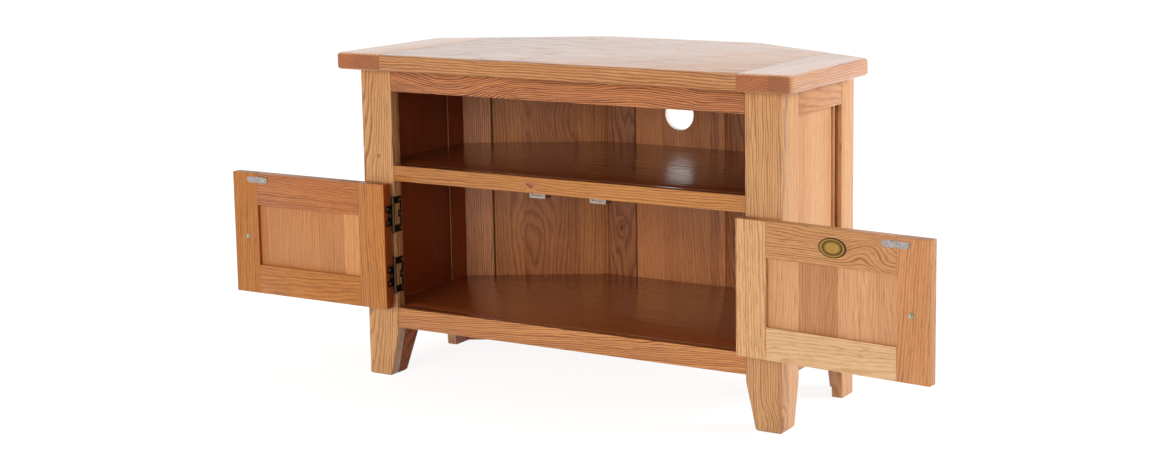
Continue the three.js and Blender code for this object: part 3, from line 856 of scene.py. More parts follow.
@dataclass(frozen=True)
class MetalFinish:
    """A metal part, mottled between its colour and a rubbed one by noise a few mm across.

    Attributes:
        base: The metal.
        rubbed: Its colour where it is rubbed.
        roughness: How dull it is.
        wear: How much of it is rubbed.
        mottling: Size of the mottling, in mm.
        detail: Octaves of the mottling.
        grit: How rough the mottling is.
        rubbed_range: Mottling at which rubbing starts to show, and is full.
        gloss_share: How far the mottling spreads the roughness.
        gloss_level: What is taken off the roughness for that.
        relief: Strength of the mottling's relief, and its depth in mm.
        knuckle: Radii round a hinge pin, in mm: all the wear within the first, none past
            the second.
        knuckle_wear: The wear there.
    """

    base: str
    rubbed: str
    roughness: float
    wear: float = 0.3
    mottling: float = 3.8462
    detail: float = 4.0
    grit: float = 0.65
    rubbed_range: Pair = (0.4, 0.7)
    gloss_share: float = 0.2
    gloss_level: float = 0.1
    relief: Pair = (0.15, 0.1)
    knuckle: Pair = (3.6, 4.4)
    knuckle_wear: float = 0.5

    def material(self, name: str, pins: tuple[Pair, ...] = ()) -> Material:
        """Makes the metal.

        Args:
            name: The material's name.
            pins: Upright hinge axes, in mm, round which the knuckles are rubbed bright.

        Returns:
            The material.
        """
        shader = Shader(name)
        scale = per_metre(self.mottling)
        noise = {"Scale": scale, "Detail": self.detail, "Roughness": self.grit}
        mottle = shader.add("ShaderNodeTexNoise", shader.place, inputs=noise)
        worn = shader.add("ShaderNodeMapRange", mottle, *self.rubbed_range, 0.0, self.wear)
        inner, outer = (radius * MM for radius in self.knuckle)
        for x, y in pins:
            away = shader.distance(shader.place, (1, 1, 0), (x * MM, y * MM, 0))
            near = shader.add("ShaderNodeMapRange", away, inner, outer, self.knuckle_wear, 0.0)
            worn = shader.add("ShaderNodeMath", near, worn, operation="MAXIMUM")
        gloss = shader.sum_of([(mottle, self.gloss_share)], self.roughness - self.gloss_level)
        colour = shader.tinted(self.base, (worn, self.rubbed))
        looks = {"Base Color": colour, "Roughness": gloss, "Metallic": 1.0}
        return shader.metal(mottle, self.relief, looks)


def closed_surface(name: str, points: np.ndarray, frame: Matrix, material: Material) -> Object:
    """Makes a closed surface from rings of points between two poles.

    The first and last rows are poles: each is the mean of its row. Neighbouring rows are
    joined by quads, and each pole by a fan of triangles.

    Args:
        name: The piece's name.
        points: Rows of points, each row once round, counter-clockwise from the tip.
        frame: Takes the points to the row frame.
        material: The finish.

    Returns:
        The object, at the origin.
    """
    rows, sides, _ = points.shape
    inner = points[1:-1].reshape(-1, 3)
    vertices = np.vstack([points[0].mean(0), inner, points[-1].mean(0)])
    placed = vertices @ np.array(frame.to_3x3()).T + np.array(frame.translation)
    ring = np.arange(sides)
    after = (ring + 1) % sides
    start = 1 + sides * np.arange(rows - 3)[:, None]
    corners = [start + ring, start + sides + ring, start + sides + after, start + after]
    quads = np.stack(corners, -1).reshape(-1, 4)
    end = len(vertices) - 1
    base = end - sides
    tip_fan = np.stack([np.zeros(sides, int), 1 + ring, 1 + after], -1)
    end_fan = np.stack([np.full(sides, end), base + after, base + ring], -1)
    faces = quads.tolist() + tip_fan.tolist() + end_fan.tolist()
    mesh = bpy.data.meshes.new(name)
    mesh.from_pydata(placed.tolist(), [], faces)
    mesh.polygons.foreach_set("use_smooth", np.ones(len(mesh.polygons), bool))
    mesh.materials.append(material)
    mesh.validate()
    piece = bpy.data.objects.new(name, mesh)
    bpy.context.scene.collection.objects.link(piece)
    return piece


def turned(profile: np.ndarray, sides: int) -> np.ndarray:
    """Turns a profile of radius and height round the third axis.

    Args:
        profile: Rows of radius and height, from the tip's pole to the foot's.
        sides: Points in each ring.

    Returns:
        The rings: radius times cosine and sine of the angle, and the height.
    """
    angle = 2 * np.pi * np.arange(sides) / sides
    radius, height = profile[:, :1], profile[:, 1:]
    return np.stack([radius * np.cos(angle), radius * np.sin(angle), height + 0 * angle], -1)


def facing(origin: Vector, out: Vector) -> Matrix:
    """Builds a frame whose third axis points out and whose second is upright.

    Args:
        origin: The frame's origin.
        out: The direction that the piece faces, level.

    Returns:
        The frame, right-handed.
    """
    normal = out.normalized()
    frame = Matrix((UP.cross(normal), UP, normal)).transposed().to_4x4()
    frame.translation = origin
    return frame


@dataclass(frozen=True)
class ScrewHead:
    """A countersunk or pan head with a cross recess, lengths in mm.

    Attributes:
        radius: Radius of the head.
        rise: Height of its crown.
        recess: Depth of the cross in the middle.
        seat: How far it goes on below the rim.
        fall: Share of the crown's square that is lost at the rim.
        arm: Reach of the cross, as a share of the radius.
        slot: Half the width of an arm, as a share of the radius.
        fade: Share of the recess that is lost at the end of an arm.
    """

    radius: float
    rise: float
    recess: float
    seat: float = 0.15
    fall: float = 0.92
    arm: float = 0.62
    slot: float = 0.13
    fade: float = 0.6
    sides: int = 48
    steps: int = 14

    def points(self) -> np.ndarray:
        """Gives the head as rings from its crown to the middle of its seat.

        The crown is an arc. Inside each arm of the cross the height drops by the recess,
        which fades towards the arm's end. Below the rim the surface returns underneath.

        Returns:
            The rings, in metres.
        """
        share = np.linspace(0, 1, self.steps)
        height = self.rise * np.sqrt(1 - self.fall * share**2)
        crown = np.stack([self.radius * share, height], -1)
        under = np.array([[self.radius, -self.seat], [0.0, -self.seat]])
        rings = turned(np.vstack([crown, under]), self.sides)
        x, y = np.abs(rings[..., 0]), np.abs(rings[..., 1])
        arm, half = self.arm * self.radius, self.slot * self.radius
        in_arms = ((x < half) & (y < arm)) | ((y < half) & (x < arm))
        drop = self.recess * (1 - self.fade * np.hypot(x, y) / arm) * in_arms
        drop[len(share) :] = 0
        rings[..., 2] -= drop
        return rings * MM


KNOB_SCREW = ScrewHead(radius=4.9, rise=1.5, recess=1.1)
STRIKE_SCREW = ScrewHead(radius=2.3, rise=0.5, recess=0.4, sides=32, steps=10)
HINGE_SCREW = ScrewHead(radius=3.4, rise=0.45, recess=0.25, sides=32, steps=10)


@dataclass(frozen=True)
class Knob:
    """A turned knob: a domed head that runs in a hollow to a neck and a foot, in mm.

    Points are radius and height. Each of the two curves starts at one point, is drawn
    towards a second and ends at a third.
    """

    head: Pair = (16.0, 18.5)
    dome: float = 7.5
    hollow: Pair = (6.6, 10.5)
    neck: Pair = (7.0, 5.5)
    flare: Pair = (7.0, 0.4)
    foot: Pair = (9.5, 0.0)
    under: Pair = (4.0, 0.0)
    dome_steps: int = 22
    curve_steps: int = 16
    sides: int = 72

    def curve(self, start: Any, pull: Pair, end: Pair) -> np.ndarray:
        """Gives a quadratic Bezier curve without its first point.

        Args:
            start: Its first point.
            pull: The point that it is drawn towards.
            end: Its last point.

        Returns:
            Rows of radius and height.
        """
        share = np.linspace(0, 1, self.curve_steps)[1:, None]
        left = 1 - share
        drawn = 2 * share * left * np.array(pull)
        return left**2 * np.array(start) + drawn + share**2 * np.array(end)

    def points(self) -> np.ndarray:
        """Gives the knob as rings from its crown to the middle of its foot.

        The head is an ellipse, from its crown to 45 degrees below its widest place.

        Returns:
            The rings, in metres.
        """
        angle = np.linspace(-np.pi / 2, np.pi / 4, self.dome_steps)
        radius, height = self.head
        dome = np.stack([radius * np.cos(angle), height - self.dome * np.sin(angle)], -1)
        dome[0, 0] = 0
        hollow = self.curve(dome[-1], self.hollow, self.neck)
        flare = self.curve(self.neck, self.flare, self.foot)
        profile = np.vstack([dome, hollow, flare, self.under, (0.0, 0.0)]) * MM
        return turned(profile, self.sides)


@dataclass(frozen=True)
class Lamp:
    """A square area lamp that faces a target, in metres and watts."""

    name: str
    place: Point
    target: Point
    size: float
    power: float

    def build(self) -> None:
        """Makes the lamp, which lights the object but doesn't show in its gloss."""
        data = bpy.data.lights.new(self.name, "AREA")
        data.size = self.size
        data.energy = self.power
        lamp = bpy.data.objects.new(self.name, data)
        lamp.location = self.place
        ray = Vector(self.target) - Vector(self.place)
        lamp.rotation_euler = ray.to_track_quat("-Z", "Y").to_euler()
        lamp.visible_glossy = False
        bpy.context.scene.collection.objects.link(lamp)


LAMPS = (
    Lamp("side_softbox", (3.0, 1.5, 1.3), (0.2, 0.1, 0.35), 1.5, 96),
    Lamp("key_softbox", (-0.3, -5.0, 1.2), (0, 0, 0.35), 2.4, 180),
    Lamp("front_fill", (2.2, -3.2, 1.3), (0, 0, 0.3), 1.5, 14),
    Lamp("overhead", (0.2, 0.6, 2.8), (0, 0, 0.5), 1.8, 14),
)


@dataclass
class Studio:
    """The camera of the photograph, a pale floor and soft light.

    Attributes:
        frame_width: Width of the photograph, in pixels.
        focal: Focal length, in pixels.
        camera_place: Where the camera stands.
        yaw: Degrees by which it looks to the left.
        pitch: Degrees by which it looks up.
        roll: Degrees by which it leans.
        shift: Shift of the frame, in pixels.
        sensor: Width of the sensor, in mm.
        sky: Strength of the light from all round.
        floor_half: Half the floor's width.
        glow: The floor's own light under the object; far from it the light is one.
        glow_range: Distance from the middle at which it starts to rise, and is full.
    """

    frame_width: int = 1170
    focal: float = 1916.06
    camera_place: Point = (1.74403, -2.88340, 0.92933)
    yaw: float = 28.726
    pitch: float = -8.573
    roll: float = -0.471
    shift: Pair = (111.96, -80.0)
    sensor: float = 36.0
    sky: float = 0.3
    floor_half: float = 9.0
    glow: float = 0.88
    glow_range: Pair = (0.7, 2.0)

    def build(self) -> None:
        """Makes the camera, the world, the floor and the lamps."""
        self.make_camera()
        self.make_world()
        self.make_floor()
        for lamp in LAMPS:
            lamp.build()

    def make_camera(self) -> None:
        """Makes the camera from the view fitted to the photograph's corners."""
        yaw, pitch, roll = (math.radians(a) for a in (self.yaw, self.pitch, self.roll))
        level = math.cos(pitch)
        ahead = Vector((-math.sin(yaw) * level, math.cos(yaw) * level, math.sin(pitch)))
        right = Vector((math.cos(yaw), math.sin(yaw), 0))
        up = right.cross(ahead)
        right_rolled = math.cos(roll) * right + math.sin(roll) * up
        up_rolled = math.cos(roll) * up - math.sin(roll) * right
        matrix = Matrix((right_rolled, up_rolled, -ahead)).transposed().to_4x4()
        matrix.translation = Vector(self.camera_place)
        data = bpy.data.cameras.new("photo_camera")
        data.sensor_width = self.sensor
        data.lens = self.focal / self.frame_width * self.sensor
        data.shift_x = -self.shift[0] / self.frame_width
        data.shift_y = self.shift[1] / self.frame_width
        camera = bpy.data.objects.new("photo_camera", data)
        camera.matrix_world = matrix
        bpy.context.scene.collection.objects.link(camera)
        bpy.context.scene.camera = camera
        bpy.context.scene.view_settings.view_transform = "Standard"

    def make_world(self) -> None:
        """Makes a world that looks white and lights the object with a plain soft sky."""
        world = bpy.data.worlds.new("studio")
        bpy.context.scene.world = world
        world.use_nodes = True
        graph = Graph(world.node_tree)
        seen = graph.add("ShaderNodeBackground", linear("#FFFFFF"), 1.0)
        sky = graph.add("ShaderNodeBackground", linear("#FAF8F4"), self.sky)
        mix = graph.add("ShaderNodeMixShader", graph.seen_directly(), sky, seen)
        graph.add("ShaderNodeOutputWorld", mix)

    def make_floor(self) -> None:
        """Makes the floor: white where nothing shades it, and faintly grey in shadow."""
        shader = Shader("studio_floor")
        shaded = shader.add("ShaderNodeBsdfDiffuse", linear("#8C8A88"))
        bounce = shader.add("ShaderNodeBsdfDiffuse", linear("#D8D4CF"))
        away = shader.add("ShaderNodeVectorMath", shader.place, operation="LENGTH")
        level = shader.add("ShaderNodeMapRange", away, *self.glow_range, self.glow, 1.0)
        glow = shader.add("ShaderNodeEmission", linear("#FFFFFF"), level)
        pale = shader.add("ShaderNodeAddShader", shaded, glow)
        mix = shader.add("ShaderNodeMixShader", shader.seen_directly(), bounce, pale)
        half = self.floor_half
        mesh = bpy.data.meshes.new("studio_floor")
        corners = [(-half, -half, 0), (half, -half, 0), (half, half, 0), (-half, half, 0)]
        mesh.from_pydata(corners, [], [(0, 1, 2, 3)])
        mesh.materials.append(shader.done(mix))
        floor = bpy.data.objects.new("studio_floor", mesh)
        bpy.context.scene.collection.objects.link(floor)


# Oak of the legs and sides: pale gold outside, with painted shade on their faces towards the
# cabinet's middle.
LEG = OakFinish("#CD9A68", "#8A562A", inner="#F0C8A8")
LEG_LEFT = OakFinish("#CC9764", "#8E5A2E", contrast=0.65)
SIDE = OakFinish("#DDAA7A", "#B07444", contrast=0.5, end="#B87E50", inner="#B26C40")
SIDE_RAIL = replace(SIDE, light="#CC9464", dark="#A46A3E")
WING = OakFinish("#E09A6C", "#9E5E3A", contrast=0.7)
# Unlacquered oak, dull and reddish, in the shade behind the feet.
FOOT_BLOCK = OakFinish(
    "#BC6C40", "#7C4020", contrast=0.6, roughness=0.8, coat=0.0, front_coat=0.0
)
# The rail under the top: the strongest figure, amber against dark brown.
TOP_RAIL = OakFinish("#BC7540", "#522208", contrast=0.95)
# Glossy front edges, whose upper faces get a dark painted reflection of the inside.
SHELF_EDGE = OakFinish(
    "#BE803E",
    "#7E4218",
    contrast=0.55,
    coat=1.0,
    coat_roughness=0.12,
    upper=("#6E361A", 0.9, 0.0),
)
BOTTOM_RAIL = replace(
    SHELF_EDGE, light="#CC8A50", dark="#7C4018", contrast=0.7, upper=("#8A4522", 0.9, 0.0)
)
# The top: thick lacquer with open grain, and a pale painted reflection of the studio on its
# upper faces.
TOP = OakFinish(
    "#C28650",
    "#804A20",
    contrast=0.75,
    end="#9A4E20",
    coat=1.0,
    coat_roughness=0.2,
    relief=0.9,
    coat_ior=1.7,
    open_grain=0.6,
    upper=("#E8BCA2", 0.4, 0.8),
)
CLEAT = replace(
    TOP,
    light="#E0A06C",
    dark="#AC6E3C",
    end="#9E5220",
    open_grain=0.2,
    upper=("#D2A080", 0.75, 0.4),
)
# Shelf and floor: deep red-brown oak, glossy enough to mirror the back.
DECK = OakFinish(
    "#A85429",
    "#743612",
    contrast=0.5,
    roughness=0.36,
    coat=1.0,
    front_coat=1.0,
    coat_roughness=0.1,
    relief=1.0,
    ripple=12.0,
)
# The shelf is a darker copy of the floor's oak: painted shade under the top.
SHELF_IN_SHADE = replace(DECK, light="#7E3B1C", dark="#52240B")
# Back boards: brown oak in shade.
SLANTED = OakFinish("#BC7A48", "#82492C", contrast=0.5)
BACK = OakFinish("#BA784C", "#764228", contrast=0.5)
# Door frames and panels: every board from another tree, from honey to russet.
# The left door's face towards the cabinet's middle, its hinge edge, gets painted shade.
DOOR_LEFT = OakFinish("#C27C35", "#824512", contrast=0.6, inner="#DCA06C")
RUSSET = OakFinish("#B9723A", "#7E4018", contrast=0.7)
DOOR_RIGHT = OakFinish("#DAA877", "#9C6839", contrast=0.6)
HONEY = OakFinish("#C68F5C", "#8C562A", contrast=0.6)
PALE = OakFinish("#DEB689", "#B38253", contrast=0.55)
AMBER = OakFinish("#CA8E5A", "#945729", contrast=0.6)
PANEL_LEFT = OakFinish("#CF8F58", "#995D2F", contrast=0.45)
PANEL_RIGHT = OakFinish("#D8A476", "#A2683C", contrast=0.45)
# Brass blackened with age, rubbed lighter; its screws are rubbed the most.
BLACKENED = MetalFinish("#1B1713", "#665C4C", roughness=0.34)
BLACKENED_SCREWS = MetalFinish("#4A443C", "#B4A892", roughness=0.3, wear=0.9)
# Grey zinc plating, pressed steel with a warm cast, and bright zinc screws.
ZINC = MetalFinish("#B4ACAA", "#77706E", roughness=0.36, wear=0.8)
CATCH = MetalFinish("#B0A096", "#86766E", roughness=0.4, wear=0.5)
SCREW = MetalFinish("#8A8070", "#F0E6D2", roughness=0.24, wear=0.8)


@dataclass
class Carcase:
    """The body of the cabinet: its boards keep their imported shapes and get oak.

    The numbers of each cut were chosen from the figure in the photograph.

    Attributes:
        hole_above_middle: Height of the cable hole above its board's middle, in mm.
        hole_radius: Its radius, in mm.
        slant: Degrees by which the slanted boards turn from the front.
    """

    hole_above_middle: float = 124.15
    hole_radius: float = 30.0
    slant: float = 30.0

    def shared_boards(self) -> dict[str, tuple[OakFinish, Cut]]:
        """Gives the boards that aren't the same on both sides their finish and cut.

        Returns:
            The finish and cut of each board by name.
        """
        flat, long, tall = Lay.FLAT_LONG, Lay.FRONT_LONG, Lay.FRONT_TALL
        top_strips = ((-150, 0.08), (-60, -0.05), (45, 0.06), (140, 0.0))
        top = Cut(flat, -225, 160, lean_depth=0.5, seed=2, strips=top_strips)
        left = Cut(
            Lay.FLAT_DEEP,
            -48,
            160,
            lean_depth=0.5,
            seed=3,
            strips=((-8, 0.15),),
            grooves=((47.4, 1.0),),
        )
        right = replace(
            left, heart_across=48, seed=4, strips=((9, 0.3),), grooves=((-47.4, 1.0),)
        )
        top_bends = ((-235, -25, 110, -9.0), (150, 30, 90, 3.0))
        edge_knots = ((-60, -2, 3.2), (-66, 1, 2.2))
        lower = rift_cut(long, seed=7, lean_across=4, sway=1.8, ring=3.6, warp=9)
        left_leg = Cut(
            tall, -34, 36, lean_depth=3, seed=10, ring=3.8, warp=5, knots=((124, 0, 1.7),)
        )
        foot_bend = ((-262, 18, 28, 3.0),)
        right_leg = rift_cut(tall, seed=11, warp=14, ring=4.2, figure=0.85, bends=foot_bend)
        bore = (self.hole_above_middle, 0.0, self.hole_radius)
        centre_strips = ((-36, -0.1), (64, 0.1), (83, -0.15))
        centre = Cut(tall, 200, 100, seed=12, figure=0.7, tone=-0.3, strips=centre_strips)
        return {
            "top_panel": (TOP, top),
            "top_cleat_left": (CLEAT, left),
            "top_cleat_right": (CLEAT, right),
            "front_top_rail": (TOP_RAIL, rift_cut(long, seed=5, ring=3.4, bends=top_bends)),
            "shelf_front_edge": (SHELF_EDGE, rift_cut(long, seed=6, knots=edge_knots)),
            "front_bottom_rail": (BOTTOM_RAIL, lower),
            "shelf_panel": (SHELF_IN_SHADE, rift_cut(flat, seed=8)),
            "bottom_panel": (DECK, rift_cut(flat, seed=9)),
            "front_leg_left": (LEG_LEFT, left_leg),
            "front_leg_right": (LEG, right_leg),
            "back_board_centre": (BACK, replace(centre, grooves=((-96.0, 0.8),), bore=bore)),
        }

    def side_boards(self, side: str, sign: int, seed: int) -> dict[str, tuple[OakFinish, Cut]]:
        """Gives one side's boards their finish and cut.

        Args:
            side: The side's name.
            sign: Minus one on the left and one on the right.
            seed: Sets the side's boards apart from the others.

        Returns:
            The finish and cut of each board by name.
        """
        tall, deep, turn = Lay.FRONT_TALL, Lay.SIDE_TALL, -self.slant * sign
        foot_tone = 0.2 if side == "left" else 0.0
        foot = Cut(deep, seed=seed + 2, tone=foot_tone, grooves=((-20.8, 0.8),))
        wing = rift_cut(tall, seed=seed, turn=turn, ring=3.6)
        back = Cut(tall, seed=seed + 8, tone=0.3, figure=0.8, knots=((-104, 0, 5),))
        slanted = Cut(
            tall,
            -12,
            26,
            lean_depth=5,
            ring=6.5,
            figure=0.75,
            seed=seed + 7,
            turn=turn,
            strips=((-52, 0.25), (55, 0.0)),
            grooves=((sign * 109.5, 1.4),),
            bends=((110, -10 * sign, 70, 5.0), (-30, 30 * sign, 60, 4.0)),
        )
        return {
            f"front_leg_side_{side}": (SIDE, rift_cut(deep, seed=seed + 1)),
            f"front_foot_block_{side}": (FOOT_BLOCK, foot),
            f"rear_leg_{side}": (SIDE, rift_cut(deep, seed=seed + 3)),
            f"rear_leg_wing_{side}": (WING, wing),
            f"side_top_rail_{side}": (SIDE_RAIL, Cut(Lay.SIDE_LONG, seed=seed + 4)),
            f"side_bottom_rail_{side}": (SIDE_RAIL, Cut(Lay.SIDE_LONG, seed=seed + 5)),
            f"side_panel_{side}": (SIDE, rift_cut(deep, seed=seed + 6)),
            f"angled_back_{side}": (SLANTED, slanted),
            f"back_board_{side}": (BACK, back),
        }

    def dress(self, nodes: dict[str, Object]) -> None:
        """Gives the body's boards their oak.

        Args:
            nodes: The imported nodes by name.
        """
        boards = self.shared_boards()
        boards |= self.side_boards("left", -1, 20)
        boards |= self.side_boards("right", 1, 35)
        for name, (finish, cut) in boards.items():
            dress_board(nodes[name], finish, cut)


def smooth_curves() -> bpy.types.NodeTree:
    """Makes the geometry nodes that shade curved faces smooth and keep arrises sharp.

    All faces are shaded smooth, and then each edge whose faces meet at more than the angle
    for smooth shading is marked sharp.

    Returns:
        The node tree, for a modifier.
    """
    tree = bpy.data.node_groups.new("smooth_curves", "GeometryNodeTree")
    for way in ("INPUT", "OUTPUT"):
        tree.interface.new_socket("Geometry", in_out=way, socket_type="NodeSocketGeometry")
    graph = Graph(tree)
    start = graph.add("NodeGroupInput")
    angle = graph.add("GeometryNodeInputMeshEdgeAngle")
    gentle = graph.add(
        "ShaderNodeMath", angle, math.radians(SMOOTH_DEGREES), operation="LESS_THAN"
    )
    faces = graph.add("GeometryNodeSetShadeSmooth", start, domain="FACE")
    edges = graph.add(
        "GeometryNodeSetShadeSmooth", faces, inputs={"Shade Smooth": gentle}, domain="EDGE"
    )
    graph.add("NodeGroupOutput", edges)
    return tree


def dress_node(node: Object, material: Material) -> None:
    """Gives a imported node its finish.

    Args:
        node: The node.
        material: The finish.
    """
    node.data.materials.clear()
    node.data.materials.append(material)
    LOG.info("node %s in %s", node.name, material.name)


def dress_board(node: Object, finish: OakFinish, cut: Cut) -> None:
    """Gives one packed board its oak and eases its arrises.

    Args:
        node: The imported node.
        finish: Its oak.
        cut: How it was sawn.
    """
    low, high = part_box(node.name)
    dress_node(node, Timber(f"oak_{node.name}", finish, cut, (low + high) / 2).build())
    weld = node.modifiers.new("merge", "WELD")
    weld.merge_threshold = WELD * MM
    ease = node.modifiers.new("eased_arrises", "BEVEL")
    ease.width = ARRIS * MM
    ease.segments = ARRIS_STEPS
    ease.limit_method = "ANGLE"
    ease.angle_limit = math.radians(ARRIS_DEGREES)
    smooth = node.modifiers.new("smooth_curves", "NODES")
    smooth.node_group = bpy.data.node_groups.get("smooth_curves") or smooth_curves()


@dataclass
class Door:
    """One door: its boards, turned knob, knob screw and strike screws.

    Places in a door are in mm from its pin: towards the hinge edge, towards the inner face,
    and up from the ground. The numbers of each cut were given one by one.

    Attributes:
        side: The side's name.
        sign: Minus one on the left and one on the right.
        open_degrees: How far it is open at rest.
        seed: Sets its boards apart from the others.
        finish: The oak of boards that have none of their own.
        own: Oak of single boards, by part.
        panel_tone: Tone of the panel's first strip.
        panel_strips: Its other strips.
        swirls: Bends in the figure of the top rail.

    The other fields are lengths in mm.
    """

    side: str
    sign: int
    open_degrees: float
    seed: float
    finish: OakFinish
    own: dict[str, OakFinish]
    panel_tone: float
    panel_strips: tuple[Pair, ...]
    swirls: tuple[Bend, ...] = ()
    pin: Pair = HINGE_PIN
    free_edge: float = -350.0
    front: float = 5.0
    back: float = 25.0
    knob_edge: float = 32.0
    knob_height: float = 238.0
    knob_screw_seat: float = 0.2
    top: float = 357.5
    plate_edge: float = 59.0
    plate_drop: float = 12.0
    plate_thickness: float = 1.2
    screw_spacing: float = 16.0
    glue_line: float = 0.3

    @property
    def body(self) -> str:
        """The name of the body that the door's pieces ride on."""
        return f"{self.side}_door"

    def place(self, x: float, y: float, z: float) -> Vector:
        """Takes a point of the door to the row frame.

        The door turns about its pin by its opening, and the left one is mirrored.

        Args:
            x: From the pin towards the hinge edge, in mm.
            y: From the pin towards the inner face, in mm.
            z: Height, in mm.

        Returns:
            The point, in metres.
        """
        angle = math.radians(self.open_degrees)
        along = self.pin[0] + x * math.cos(angle) - y * math.sin(angle)
        back = self.pin[1] + x * math.sin(angle) + y * math.cos(angle)
        return Vector((self.sign * along, back, z)) * MM

    def inward(self) -> Vector:
        """Gives the direction that the door's inner face looks in."""
        return self.place(0, 1, 0) - self.place(0, 0, 0)

    def dress(self, nodes: dict[str, Object]) -> None:
        """Gives the door's boards their oak.

        Args:
            nodes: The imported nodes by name.
        """
        tall, long, seed = Lay.FRONT_TALL, Lay.FRONT_LONG, self.seed
        cuts = {
            "hinge_stile": Cut(tall, 80, 40, seed=seed, figure=0.8),
            "free_stile": Cut(tall, 90, 40, seed=seed + 1, lean_across=6, figure=0.6),
            "top_rail": Cut(long, 70, 40, seed=seed + 2, bends=self.swirls, ring=4),
            "bottom_rail": Cut(long, -30, 40, seed=seed + 3, lean_depth=3, figure=0.6),
            "panel": Cut(
                tall,
                400,
                200,
                lean_depth=0.5,
                ring=4.2,
                warp=16,
                figure=0.55,
                seed=seed + 4,
                tone=self.panel_tone,
                strips=self.panel_strips,
            ),
        }
        turn = self.sign * (self.open_degrees - 180)
        for part, cut in cuts.items():
            finish = self.own.get(part, self.finish)
            dress_board(nodes[f"door_{part}_{self.side}"], finish, replace(cut, turn=turn))

    def knob(self) -> Object:
        """Turns the knob.

        Returns:
            The knob.
        """
        foot = self.front - self.glue_line
        place = self.place(self.free_edge + self.knob_edge, foot, self.knob_height)
        cut = Cut(Lay.SIDE_LONG, seed=self.seed + 5, heart_depth=20, ring=3.5)
        oak = Timber(f"oak_turned_knob_{self.side}", self.finish, cut, place).build()
        frame = facing(place, -self.inward())
        return closed_surface(f"turned_knob_{self.side}", Knob().points(), frame, oak)

    def screw(self, name: str, head: ScrewHead, at: Point, metal: Material) -> Object:
        """Makes a screw head on the inner face.

        Args:
            name: The piece's name.
            head: The head's shape.
            at: Place in the door, in mm.
            metal: Its finish.

        Returns:
            The screw head.
        """
        frame = facing(self.place(*at), self.inward())
        return closed_surface(name, head.points(), frame, metal)

    def build(self, metal: Material) -> None:
        """Makes the door's own pieces and lets them ride on it.

        Args:
            metal: The finish of its screws.
        """
        knob = self.knob()
        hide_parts(f"knob_{self.side}")
        seat = self.back + self.knob_screw_seat
        at = (self.free_edge + self.knob_edge, seat, self.knob_height)
        knob_screw = self.screw(f"knob_screw_head_{self.side}", KNOB_SCREW, at, metal)
        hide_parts(f"knob_screw_{self.side}")
        pieces = [knob, knob_screw]
        face = self.back + self.glue_line + self.plate_thickness
        for number in range(3):
            x = self.free_edge + self.plate_edge + (number - 1) * self.screw_spacing
            spot = (x, face, self.top - self.plate_drop)
            name = f"strike_screw_{self.side}_{number}"
            pieces.append(self.screw(name, STRIKE_SCREW, spot, metal))
        for piece in pieces:
            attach(piece, self.body)
            LOG.info("piece %s on %s", piece.name, self.body)


@dataclass
class Hinge:
    """The screws of one flush hinge, in its frame leaf and in its door leaf, in mm.

    Attributes:
        door: The door that it carries.
        level: Its name on the door.
        height: Its middle above the ground.
        frame_spots: How deep and how high each screw of the frame leaf sits.
        door_spots: The same for the door leaf.
        leaf: How far the leaves' faces stand from the edges.
        leaf_step: How far the frame leaf is set forward.
    """

    door: Door
    level: str
    height: float
    frame_spots: tuple[Pair, ...] = ((17.5, 25.7), (18.0, 0.0), (17.5, -25.7))
    door_spots: tuple[Pair, ...] = ((15.0, 12.5), (9.5, 0.0), (15.0, -12.5))
    leaf: float = 0.5
    leaf_step: float = 2.0

    def build(self, metal: Material) -> None:
        """Makes the screw heads of both leaves.

        Args:
            metal: The screws' finish.
        """
        door = self.door
        points = HINGE_SCREW.points()
        name = f"{self.level}_{door.side}"
        frame_face = Vector((door.sign * (door.pin[0] - self.leaf), 0, 0)) * MM
        for number, (deep, rise) in enumerate(self.frame_spots):
            y = door.pin[1] + door.front + deep - self.leaf_step
            origin = frame_face + Vector((0, y, self.height + rise)) * MM
            frame = facing(origin, Vector((-door.sign, 0, 0)))
            piece = closed_surface(f"hinge_frame_screw_{name}_{number}", points, frame, metal)
            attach(piece, "cabinet")
            LOG.info("piece %s on cabinet", piece.name)
        out = door.place(1, 0, 0) - door.place(0, 0, 0)
        for number, (deep, rise) in enumerate(self.door_spots):
            frame = facing(door.place(self.leaf, deep, self.height + rise), out)
            piece = closed_surface(f"hinge_door_screw_{name}_{number}", points, frame, metal)
            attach(piece, door.body)
            LOG.info("piece %s on %s", piece.name, door.body)


